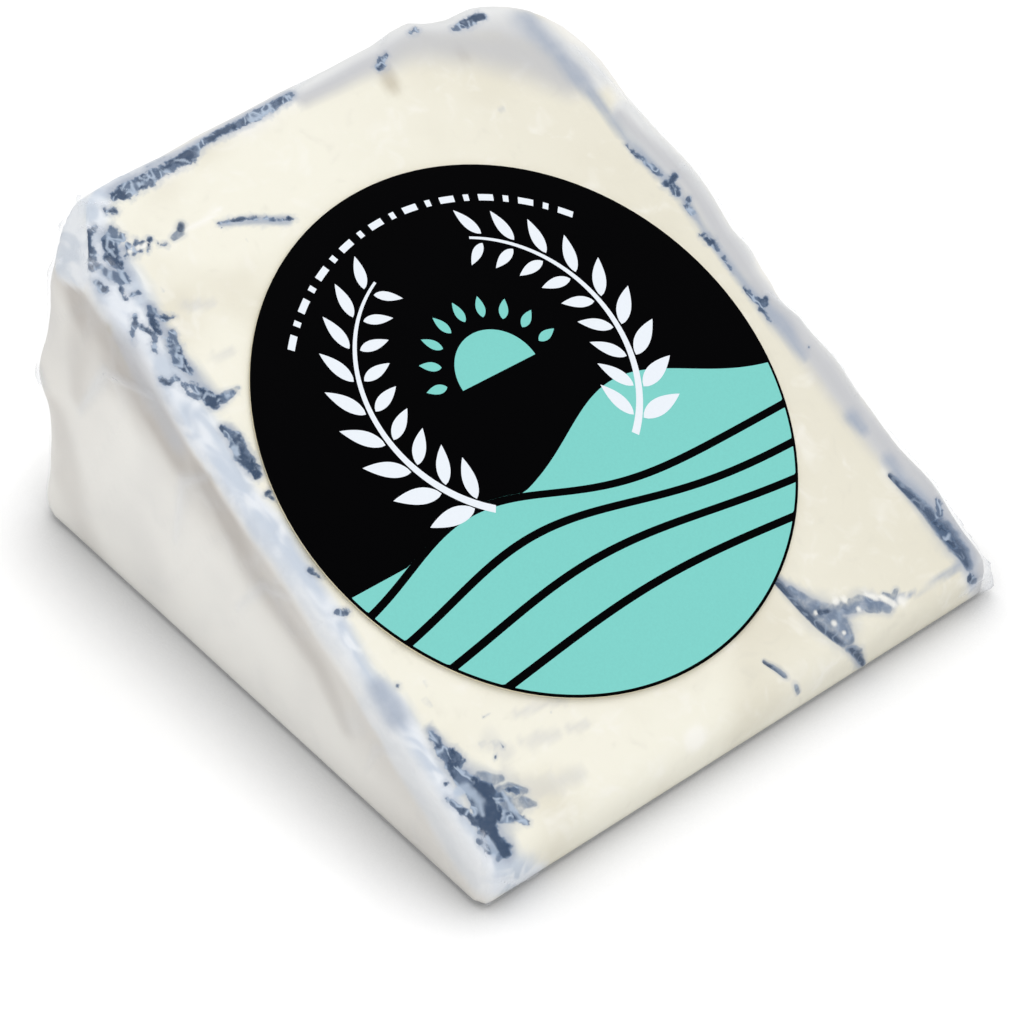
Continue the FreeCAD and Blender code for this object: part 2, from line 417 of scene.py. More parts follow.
@dataclass(frozen=True)
class AshPattern:
    """Where ash, haze, stains, painted shade and painted highlights show, from front to back along
    each edge of the upper cut.

    Attributes:
        left: Ash along the left edge.
        top: Ash along the rear edge.
        right: Ash along the right edge.
        veins: Ash veins through the paste.
        smoke: Paler ash about the veins.
        lumps: Bits of paste within the ash.
        glints: Painted highlights on creases in the film over the ash.
        specks: Loose grains of ash.
        bruise: Grey-blue paste beside the ash.
        haze: Milky film along the edges.
        shade_and_grey: Painted shade, grey, along the rear and right edges.
        stains: Warm grey stains.
        faint: Faint grey patches of the paste.
        folds: Soft shade in the film on the left side.
    """

    left: tuple[Stroke, ...] = strokes(
        ((-34.3, 15.4, 0.3), (-34.4, 13.2, 0.7), (-33.8, 12.0, 1.1), (-34.4, 10.6, 0.8),
         (-33.9, 9.0, 1.1), (-33.4, 7.2, 1.7), (-34.2, 5.6, 1.5), (-35.2, 4.0, 1.0),
         (-35.0, 2.4, 0.9), (-34.6, 1.2, 0.8), (-34.4, 0.2, 0.5)),
        ((-33.2, 6.6, 1.0), (-32.0, 6.2, 0.6)),
        ((-33.0, 4.6, 0.9), (-31.4, 3.4, 0.4), (-30.8, 2.5, 0.2)),
        ((-30.6, 6.3, 0.2), (-29.9, 5.9, 0.3)),
        ((-37.0, 8.9, 0.2), (-36.6, 7.6, 0.4), (-35.8, 5.6, 0.5), (-35.2, 4.6, 0.6)),
        ((-36.8, 3.4, 0.25), (-36.0, 2.2, 0.6), (-35.6, 1.9, 0.5)), ((-36.0, 10.2, 0.25),),
        ((-35.7, 30.8, 0.22), (-34.9, 30.4, 0.35)), ((-35.7, 36.0, 0.2), (-35.1, 35.0, 0.25)),
        ((-34.8, 45.2, 0.25), (-34.6, 44.4, 0.15)),
        ((-34.9, 53.4, 0.4), (-34.4, 52.0, 0.8), (-34.8, 50.0, 0.95), (-34.6, 48.4, 0.8),
         (-34.7, 47.3, 0.4)),
        ((-35.9, 59.2, 0.35), (-36.1, 58.3, 0.3), (-35.2, 57.6, 0.35)),
        ((-35.2, 58.9, 0.35), (-34.6, 57.8, 0.6), (-34.2, 56.6, 0.9), (-33.2, 56.2, 0.45),
         (-31.6, 56.3, 0.15)),
        ((-33.8, 64.9, 0.45), (-34.4, 63.4, 0.8), (-34.8, 62.0, 0.75), (-34.5, 60.4, 0.4)),
        ((-34.2, 68.4, 0.4), (-34.9, 66.8, 0.5), (-34.9, 65.6, 0.3)),
        ((-34.0, 67.4, 0.3), (-33.6, 66.8, 0.35), (-32.6, 66.5, 0.15)),
        ((-36.3, 68.3, 0.25), (-37.0, 67.4, 0.25), (-38.3, 66.0, 0.15)),
        ((-35.9, 66.4, 0.25), (-35.6, 65.6, 0.3), (-36.5, 64.1, 0.3)),
        ((-36.4, 66.9, 0.2), (-35.9, 66.2, 0.25)),
        ((-38.0, 60.9, 0.45), (-37.2, 60.4, 0.35), (-36.3, 60.5, 0.25)),
        ((-35.9, 71.6, 0.2), (-36.1, 70.4, 0.15)), ((-35.2, 70.6, 0.2), (-34.4, 70.4, 0.15)),
        ((-36.3, 74.0, 0.4), (-35.6, 73.0, 0.7), (-34.8, 72.6, 0.7)),
        ((-37.9, 73.3, 0.4), (-37.6, 72.4, 0.5)),
        ((-33.0, 77.6, 0.6), (-34.0, 76.6, 0.9), (-34.7, 75.2, 0.9), (-34.6, 73.8, 0.5)),
        ((-33.6, 76.4, 0.5), (-32.4, 76.8, 0.4)), ((-32.2, 75.7, 0.22), (-33.3, 74.7, 0.16)),
        ((-31.2, 75.9, 0.2), (-32.3, 74.4, 0.22)), ((-30.7, 75.4, 0.12), (-31.5, 74.6, 0.22)),
        ((-29.8, 75.2, 0.2), (-30.8, 74.2, 0.12)), ((-29.2, 74.4, 0.14), (-28.6, 74.0, 0.1)),
        ((-21.8, 73.9, 0.08), (-19.3, 73.3, 0.2), (-17.0, 72.6, 0.1), (-15.8, 71.7, 0.18),
         (-13.6, 70.9, 0.14)),
        ((-34.5, 78.9, 0.3), (-35.7, 78.2, 0.4), (-36.3, 77.0, 0.45), (-36.9, 75.9, 0.5),
         (-37.4, 75.1, 0.5), (-36.6, 75.0, 0.4)),
    )
    top: tuple[Stroke, ...] = strokes(
        ((-32.2, 79.8, 0.25), (-31.2, 79.4, 0.25)),
        ((-30.4, 80.7, 0.5), (-29.0, 80.7, 0.9), (-27.4, 80.9, 0.7), (-25.8, 80.9, 0.8),
         (-24.0, 81.2, 0.4), (-22.6, 81.2, 0.7), (-20.0, 81.4, 0.8), (-18.0, 81.9, 0.5),
         (-15.0, 82.1, 0.5), (-12.0, 82.2, 0.6), (-9.5, 82.4, 0.8), (-7.0, 82.4, 0.6),
         (-4.8, 82.6, 0.3)),
        ((-25.0, 82.6, 0.2), (-22.6, 82.8, 0.3)), ((-17.0, 83.3, 0.15), (-14.0, 83.5, 0.2)),
        ((6.8, 81.3, 0.3), (7.6, 81.6, 0.45), (8.6, 82.0, 0.25)),
        ((18.4, 82.6, 0.2), (20.2, 83.0, 0.6), (22.8, 83.2, 0.6)),
        ((13.2, 82.8, 0.2), (14.2, 83.0, 0.3)),
    )
    right: tuple[Stroke, ...] = strokes(
        ((29.2, 62.5, 0.15), (29.8, 60.0, 0.3), (30.3, 57.6, 0.35)),
        ((30.0, 56.1, 0.3), (31.0, 56.0, 0.4), (31.7, 56.5, 0.4)),
        ((30.9, 55.6, 0.45), (30.7, 54.7, 0.55)),
        ((31.5, 53.2, 0.35), (31.0, 52.6, 0.4), (31.1, 51.6, 0.25)),
        ((30.6, 48.8, 0.35), (31.2, 47.8, 0.5), (31.4, 46.6, 0.25)),
        ((31.4, 45.4, 0.2), (31.3, 43.4, 0.12)),
        ((31.4, 41.2, 0.2), (31.6, 39.6, 0.35), (32.2, 38.6, 0.65), (32.9, 38.9, 0.35)),
        ((31.6, 38.2, 0.3), (31.7, 36.4, 0.15)),
        ((34.4, 7.0, 0.3), (34.9, 5.2, 0.7), (35.0, 3.8, 0.5)),
        ((36.1, 8.7, 0.35), (35.4, 7.6, 0.4)),
    ) + strokes(
        ((34.9, 0.4, 0.4), (34.8, 1.2, 0.5), (35.4, 2.2, 0.55)),
        side=Side.FRONT)
    veins: tuple[Stroke, ...] = strokes(
        ((11.5, 11.6, 0.4), (12.0, 9.0, 0.45), (12.5, 6.4, 0.5), (13.1, 4.0, 0.55),
         (13.9, 2.0, 0.55), (14.7, 0.4, 0.5)),
        ((14.3, 5.2, 0.45), (15.2, 4.9, 0.3)),
        ((4.3, 3.8, 0.2), (5.2, 2.2, 0.3), (5.7, 0.8, 0.26), (6.2, 0.1, 0.2)),
        ((-25.9, 75.0, 0.4), (-25.5, 75.4, 0.35)),
        ((33.0, 14.2, 0.3), (33.4, 12.0, 0.45), (33.8, 10.0, 0.55), (34.2, 8.4, 0.7),
         (34.6, 6.6, 1.0), (35.0, 5.0, 1.3), (35.0, 3.6, 1.1), (35.1, 2.0, 0.8), (35.0, 0.6, 0.7)),
    ) + strokes(
        ((14.7, 0.2, 0.5), (15.9, 1.6, 0.5), (17.1, 3.4, 0.45), (17.9, 5.0, 0.3)),
        side=Side.FRONT)
    smoke: tuple[Stroke, ...] = strokes(
        ((12.4, 8.8, 0.6), (13.4, 6.4, 0.9), (14.2, 4.6, 1.4), (15.0, 2.8, 1.4), (15.3, 0.9, 0.8)),
        ((15.2, 4.8, 0.8), (16.8, 4.3, 0.7), (18.0, 3.5, 0.4)),
        ((18.2, 4.3, 0.5), (19.4, 3.8, 0.8), (20.4, 3.4, 0.5)),
        ((19.6, 2.8, 0.4), (20.8, 2.2, 0.5)),
        ((20.8, 2.6, 0.5), (21.9, 1.7, 0.6), (22.8, 2.2, 0.3)),
        ((22.6, 3.2, 0.25), (23.4, 2.4, 0.3), (24.4, 2.9, 0.25)),
        ((-27.3, 74.4, 0.3), (-26.2, 74.6, 0.4)), ((-32.6, 8.6, 0.9), (-30.6, 7.8, 0.4)),
        ((-32.4, 6.2, 1.1), (-30.4, 6.2, 0.7), (-29.0, 5.4, 0.3)),
        ((-32.0, 4.4, 1.0), (-30.2, 4.6, 0.7), (-29.0, 3.8, 0.3)),
        ((-34.8, 1.6, 0.8), (-35.8, 0.8, 0.4)), ((-32.6, 56.4, 0.5), (-30.8, 56.6, 0.2)),
    ) + strokes(
        ((15.3, 0.6, 0.5), (16.5, 2.0, 0.5), (17.6, 4.4, 0.3)), ((6.2, 0.2, 0.3), (7.0, 2.4, 0.25)),
        side=Side.FRONT)
    lumps: tuple[Stroke, ...] = strokes(
        ((14.8, 3.4, 0.45),), ((15.2, 1.9, 0.3),), ((13.6, 5.4, 0.35),), ((16.6, 5.3, 0.5),),
        ((17.6, 5.0, 0.45),), ((18.6, 3.3, 0.35),), ((20.6, 4.3, 0.35), (21.4, 3.4, 0.4)),
        ((22.2, 3.0, 0.4), (23.0, 1.6, 0.4)), ((24.2, 1.4, 0.7),), ((-12.0, 11.4, 1.5),),
        ((-8.4, 0.4, 1.6),), ((-25.3, 74.5, 0.3), (-23.0, 74.8, 0.35), (-20.4, 75.1, 0.25)),
        ((-32.6, 75.0, 0.3), (-30.2, 74.9, 0.25)),
    )
    glints: tuple[Stroke, ...] = strokes(
        ((-31.3, 6.5, 0.25), (-31.4, 4.4, 0.3), (-31.1, 2.7, 0.25)),
        ((-35.8, 8.9, 0.4), (-34.5, 8.6, 0.6), (-34.1, 6.8, 0.6), (-34.6, 5.6, 0.3)),
        ((-35.6, 3.4, 0.2), (-35.9, 1.6, 0.35)), ((-34.0, 11.0, 0.12), (-33.7, 10.2, 0.18)),
        ((-34.9, 65.0, 0.1), (-34.1, 64.2, 0.15), (-34.0, 63.2, 0.1)),
        ((-34.9, 57.2, 0.12), (-34.2, 57.6, 0.15), (-33.6, 56.9, 0.12)),
        ((-33.9, 77.2, 0.12), (-34.6, 76.3, 0.15), (-34.3, 75.2, 0.12)),
        ((-36.6, 76.4, 0.1), (-35.9, 76.0, 0.12)),
        ((-29.2, 81.2, 0.12), (-28.4, 80.6, 0.14), (-28.2, 79.9, 0.1)),
        ((-26.6, 81.4, 0.12), (-26.0, 80.8, 0.12), (-25.4, 81.2, 0.1)),
        ((-21.8, 81.6, 0.12), (-20.8, 81.2, 0.14), (-20.4, 80.7, 0.1)),
        ((-10.4, 82.8, 0.12), (-9.4, 82.3, 0.14), (-8.8, 81.8, 0.1)),
    )
    specks: tuple[Stroke, ...] = strokes(
        ((-31.7, 20.0, 0.22),), ((-32.9, 18.6, 0.22), (-32.8, 17.8, 0.2)), ((-34.6, 21.2, 0.35),),
        ((-30.2, 11.8, 0.25),), ((-28.8, 11.1, 0.25), (-28.4, 10.5, 0.3)), ((-29.8, 9.9, 0.22),),
        ((-28.3, 14.1, 0.15), (-26.6, 13.6, 0.1)), ((34.0, 31.6, 0.25),), ((17.5, 72.5, 0.3),),
        ((-31.9, 69.7, 0.2),), ((-20.0, 70.8, 0.15),), ((-21.7, 73.2, 0.14),),
        ((-21.2, 10.9, 0.15),),
    )
    bruise: tuple[Stroke, ...] = strokes(
        ((12.0, 10.6, 0.8), (12.8, 8.4, 1.3), (14.2, 5.4, 1.9), (15.4, 3.6, 2.2), (15.2, 1.6, 1.4)),
        ((15.0, 4.2, 1.6), (17.4, 3.6, 1.2), (20.6, 3.4, 1.4), (22.0, 1.8, 1.0), (24.5, 2.0, 0.5),
         (26.6, 1.2, 0.3), (30.2, 1.4, 0.35), (32.8, 1.3, 0.6), (34.4, 1.8, 1.2)),
        ((27.8, 81.0, 2.6), (28.6, 77.0, 2.6), (29.2, 72.0, 1.7), (29.5, 67.0, 1.0),
         (30.0, 61.0, 1.1), (30.9, 54.0, 1.0), (31.3, 47.0, 0.8), (31.8, 40.0, 1.3),
         (32.6, 35.0, 1.6), (32.6, 31.0, 1.0)),
        ((33.3, 22.0, 1.7), (33.5, 20.4, 1.2)),
        ((34.0, 15.6, 1.5), (33.8, 13.0, 1.2), (34.6, 8.0, 1.9), (35.2, 4.0, 2.1),
         (35.0, 0.6, 1.6)),
        ((-21.6, 73.6, 0.4), (-18.0, 72.6, 0.7), (-14.4, 71.0, 0.8)),
        ((-36.8, 22.0, 2.0), (-36.8, 18.5, 2.0)),
        ((-34.3, 15.6, 0.9), (-34.2, 12.6, 1.7), (-33.6, 7.4, 3.2), (-34.6, 3.4, 2.2),
         (-34.6, 0.4, 1.3)),
        ((-34.6, 53.0, 1.3), (-34.8, 48.0, 1.4)),
        ((-34.2, 68.4, 1.0), (-34.6, 62.0, 1.5), (-34.0, 56.4, 1.5)),
        ((-33.6, 77.4, 1.9), (-34.9, 73.6, 1.8)), ((-33.2, 75.6, 0.9), (-31.4, 74.8, 0.5)),
        ((-30.4, 81.4, 1.3), (-20.0, 82.0, 1.3), (-5.0, 82.8, 1.2)),
    ) + strokes(
        ((15.1, 0.2, 1.0), (17.2, 4.6, 0.9)), ((35.0, 0.4, 1.2), (35.6, 3.0, 1.0)),
        side=Side.FRONT)
    haze: tuple[Stroke, ...] = strokes(
        ((-37.6, -3.0, 2.6), (-37.4, 10.0, 2.4), (-37.2, 21.0, 2.2), (-37.2, 45.0, 2.0),
         (-36.8, 60.0, 2.4), (-36.2, 72.0, 3.0), (-34.6, 79.0, 2.6), (-31.4, 82.0, 1.2)),
        ((-31.0, 82.8, 1.1), (-20.0, 83.6, 1.2), (-8.0, 84.4, 1.3), (-3.0, 83.0, 1.4),
         (8.0, 83.4, 1.7), (16.0, 83.6, 2.2), (24.0, 83.0, 2.4), (29.0, 79.0, 2.4),
         (31.4, 72.0, 2.4)),
        ((32.0, 66.0, 1.8), (33.2, 50.0, 1.6), (34.0, 30.0, 1.6), (35.0, 14.0, 1.6),
         (36.0, 4.0, 2.0)),
    ) + strokes(
        ((-38.0, 0.5, 3.0), (-34.0, 3.5, 2.6), (-31.0, 5.5, 2.0)),
        ((36.0, 0.4, 2.6), (36.6, 3.6, 2.2)),
        side=Side.FRONT) + strokes(
        ((0.0, 2.0, 2.6), (8.0, 2.2, 2.6), (17.0, 1.4, 2.0), (25.0, 0.2, 1.2)),
        ((36.0, 0.2, 0.9), (47.0, 0.2, 1.1), (54.0, 0.4, 1.2), (60.0, 0.0, 1.0)),
        side=Side.LEFT)
    shade_and_grey: tuple[Stroke, ...] = strokes(
        ((-4.0, 81.6, 0.9), (4.4, 82.0, 1.3), (10.5, 81.8, 1.8), (14.0, 81.4, 2.3),
         (19.0, 80.6, 3.0), (24.6, 77.6, 4.2), (27.4, 73.0, 3.0)),
        ((31.0, 66.0, 1.0), (32.2, 58.0, 1.4), (32.8, 50.0, 1.4), (33.0, 40.0, 1.6),
         (33.8, 30.0, 2.2), (34.4, 22.0, 2.4), (35.4, 12.0, 2.4), (36.2, 6.0, 2.2),
         (36.4, 1.0, 1.8)),
    ) + strokes(
        ((36.4, 0.4, 1.6), (37.0, 3.6, 1.4)),
        side=Side.FRONT) + strokes(
        ((66.0, 1.2, 2.2), (62.0, 2.4, 2.0), (57.0, 3.4, 2.0)),
        side=Side.LEFT)
    stains: tuple[Stroke, ...] = strokes(
        ((7.4, 80.7, 1.2), (7.0, 79.6, 1.3)), ((17.6, 79.8, 1.3),),
        ((-37.4, 57.0, 0.3), (-37.6, 54.0, 0.35)), ((-37.3, 45.4, 0.4),),
    ) + strokes(
        ((69.5, 1.6, 0.7),), ((66.0, 3.4, 0.5), (68.0, 2.6, 0.6)),
        ((62.0, 2.8, 1.2), (58.0, 3.0, 1.0)), ((50.0, 1.4, 0.8),),
        side=Side.LEFT)
    faint: tuple[Stroke, ...] = strokes(
        ((-29.2, 11.4, 1.6), (-28.4, 9.6, 1.2)),
        ((-26.2, 9.8, 0.7), (-24.6, 9.2, 1.1), (-22.0, 8.7, 0.7)),
        ((-20.6, 8.4, 0.9), (-18.6, 8.0, 0.6)), ((-25.0, 12.6, 0.5), (-19.0, 11.4, 0.5)),
        ((-29.4, 8.2, 1.3), (-28.2, 5.0, 1.2)), ((-26.0, 4.6, 1.4), (-22.6, 4.0, 1.0)),
        ((-30.6, 67.0, 0.7), (-27.6, 66.0, 0.5)), ((-31.0, 60.6, 1.0), (-29.0, 60.4, 0.6)),
    )
    folds: tuple[Stroke, ...] = strokes(
        ((68.4, 1.6, 1.6), (66.4, 3.6, 2.2), (62.0, 5.0, 2.4), (57.0, 6.6, 2.0)),
        ((52.0, 2.4, 1.6), (47.0, 4.4, 2.2), (43.0, 6.4, 2.4), (36.0, 6.0, 2.0), (30.0, 5.4, 2.0),
         (25.0, 8.6, 1.6)),
        ((76.0, 4.0, 1.8), (75.6, 12.0, 2.6), (77.0, 19.0, 1.6)),
        ((82.0, 26.0, 3.0), (80.0, 34.0, 4.0), (76.0, 40.0, 4.0)),
        side=Side.LEFT)

    def dark(self) -> tuple[Stroke, ...]:
        """Every stroke of ash that lies along an edge."""
        return self.left + self.top + self.right


# ---------------------------------------------------------------- shader nodes


class Tree:
    """Short calls for the nodes of a material or a node group."""

    def __init__(self, tree: bpy.types.NodeTree) -> None:
        """Start from a node tree."""
        self.tree = tree

    def add(self, kind: str, inputs: dict | None = None, **settings: object) -> bpy.types.Node:
        """Add a shader node.

        Args:
            kind: Its type, without the leading ShaderNode.
            inputs: A value or an output socket for each input name or number.
            settings: The node's own properties.

        Returns:
            The node.
        """
        node = self.tree.nodes.new(f"ShaderNode{kind}")
        for name, value in settings.items():
            setattr(node, name, value)
        for key, value in (inputs or {}).items():
            if isinstance(value, Socket):
                self.tree.links.new(value, node.inputs[key])
            else:
                node.inputs[key].default_value = value
        return node

    def link(self, value: Socket, socket: Socket) -> None:
        """Lead an output to an input."""
        self.tree.links.new(value, socket)

    def times(self, first: object, second: object) -> Socket:
        """Multiply two numbers and give the output."""
        return self.math("MULTIPLY", first, second)

    def math(self, operation: str, first: object, second: object = 0.0) -> Socket:
        """Combine two numbers with a Math node and give its output."""
        return self.add("Math", {0: first, 1: second}, operation=operation).outputs[0]

    def blend(self, share: object, first: object, second: object) -> Socket:
        """Mix two colours and give the output."""
        mix = self.add("Mix", {0: share, 6: first, 7: second}, data_type="RGBA")
        return mix.outputs[2]

    def rise(self, value: object, low: object, high: object) -> Socket:
        """Rise smoothly from 0 at low to 1 at high, or fall where high is below low.

        Args:
            value: What is looked up.
            low: Where the rise starts.
            high: Where the rise ends.

        Returns:
            The output.
        """
        mapped = self.add("MapRange", {"Value": value, "From Min": low, "From Max": high},
                          interpolation_type="SMOOTHSTEP")
        return mapped.outputs["Result"]

    def place(self, stretch: Sequence[float] = (1.0, 1.0, 1.0),
              turn: Sequence[float] = (0.0, 0.0, 0.0)) -> Socket:
        """Give the piece's own coordinates.

        Args:
            stretch: Scale along each axis.
            turn: Turn about each axis, in radians.

        Returns:
            The output.
        """
        spot = self.add("TexCoord").outputs["Object"]
        mapping = self.add("Mapping", {"Vector": spot, "Rotation": turn, "Scale": stretch})
        return mapping.outputs["Vector"]

    def noise(self, size: object, where: Socket, detail: float = 3.0,
              rough: float = 0.5, warp: float = 0.0) -> Socket:
        """Add noise that runs from 0 to 1.

        Args:
            size: Size of its lumps, or a socket that gives their number in a metre.
            where: Coordinates.
            detail: Number of finer layers.
            rough: Strength of the finer layers.
            warp: How much the lumps curl.

        Returns:
            The output.
        """
        scale = size if isinstance(size, Socket) else 1.0 / size
        node = self.add("TexNoise", {"Vector": where, "Scale": scale, "Detail": detail,
                                     "Roughness": rough, "Distortion": warp})
        return node.outputs[0]

    def painted(self, name: str) -> Socket:
        """Read a number that was painted on the vertices."""
        return self.add("Attribute", attribute_name=name).outputs["Fac"]

    def group(self, tree: bpy.types.NodeTree, inputs: dict) -> bpy.types.bpy_prop_collection:
        """Place a node group with its own values and give its outputs by name."""
        return self.add("Group", inputs, node_tree=tree).outputs

    def bump(self, height: Socket, distance: float,
             strength: float = 1.0) -> Socket:
        """Turn a height into a normal."""
        node = self.add("Bump", {"Height": height, "Distance": distance, "Strength": strength})
        return node.outputs["Normal"]


def new_group(name: str, inputs: dict[str, float], outputs: Sequence[str]) -> tuple[Tree, dict]:
    """Make a shader node group.

    Args:
        name: Name of the group.
        inputs: Name and value of each number that goes in.
        outputs: Name of each number that comes out.

    Returns:
        The group's tree, and its input sockets by name.
    """
    tree = bpy.data.node_groups.new(name, "ShaderNodeTree")
    for key, value in inputs.items():
        socket = tree.interface.new_socket(key, in_out="INPUT", socket_type="NodeSocketFloat")
        socket.default_value = value
    for key in outputs:
        tree.interface.new_socket(key, in_out="OUTPUT", socket_type="NodeSocketFloat")
    entry = tree.nodes.new("NodeGroupInput")
    return Tree(tree), {key: entry.outputs[key] for key in inputs}


def close_group(group: Tree, outputs: dict[str, Socket]) -> bpy.types.NodeTree:
    """Join a group's results to its outputs.

    Args:
        group: The group's tree.
        outputs: The socket that leads to each output.

    Returns:
        The finished group.
    """
    leave = group.tree.nodes.new("NodeGroupOutput")
    for key, socket in outputs.items():
        group.link(socket, leave.inputs[key])
    return group.tree


def ragged_mark() -> bpy.types.NodeTree:
    """Make the node group that turns the nearness of a mark into ragged masks.

    Returns:
        The group, which gives the mark's core, its body and the halo around it.
    """
    group, entry = new_group(
        "ragged_mark", {"Nearness": 6.0, "Scale": 900.0, "Ragged": 1.0},
        ("Core", "Body", "Halo"))
    lumps = group.noise(entry["Scale"], group.place(), detail=2.5, rough=0.55, warp=0.3)
    shift = group.times(group.math("SUBTRACT", lumps, 0.5), entry["Ragged"])
    edge = group.math("ADD", entry["Nearness"], shift)
    return close_group(group, {
        "Core": group.rise(edge, 0.95, 0.35),
        "Body": group.rise(edge, 1.35, 0.8),
        "Halo": group.rise(edge, 2.8, 0.9),
    })


def film_streaks() -> bpy.types.NodeTree:
    """Make the node group of creases in tight film.

    Returns:
        The group, which gives a mask of curling light lines.
    """
    group, entry = new_group("film_streaks", {"Scale": 700.0, "Width": 0.08}, ("Streak",))
    wave = group.noise(entry["Scale"], group.place((1.0, 0.6, 1.0), (0.0, 0.0, 0.5)),
                       detail=1.0, rough=0.45, warp=0.5)
    ridge = group.math("ABSOLUTE", group.math("SUBTRACT", wave, 0.5))
    return close_group(group, {"Streak": group.rise(ridge, entry["Width"], 0.0)})


def fine_grain() -> bpy.types.NodeTree:
    """Make the node group of a fine grain, as of paper and ink.

    Returns:
        The group, which gives a tone near 1 and a height.
    """
    group, entry = new_group("fine_grain", {"Scale": 4000.0, "Amount": 0.05}, ("Tone", "Height"))
    grain = group.noise(entry["Scale"], group.place(), detail=2.0, rough=0.6)
    swing = group.times(group.math("SUBTRACT", grain, 0.5), entry["Amount"])
    return close_group(group, {"Tone": group.math("ADD", swing, 1.0), "Height": grain})


@dataclass
class Groups:
    """The node groups that several finishes share, each made once.

    Attributes:
        mark: Ragged masks of a mark.
        streaks: Creases in tight film.
        grain: Fine grain of paper and ink.
    """

    mark: bpy.types.NodeTree = field(default_factory=ragged_mark)
    streaks: bpy.types.NodeTree = field(default_factory=film_streaks)
    grain: bpy.types.NodeTree = field(default_factory=fine_grain)


def new_material(name: str, **values: object) -> tuple[bpy.types.Material, Tree, dict]:
    """Make a material with one Principled shader.

    Args:
        name: Name of the material.
        values: Inputs of the shader, with spaces written as underscores.

    Returns:
        The material, its tree, and the shader's inputs by name.
    """
    material = bpy.data.materials.new(name)
    material.use_nodes = True
    tree = Tree(material.node_tree)
    shader = tree.tree.nodes["Principled BSDF"]
    for key, value in values.items():
        shader.inputs[key.replace("_", " ")].default_value = value
    return material, tree, shader.inputs


# ---------------------------------------------------------------- finishes


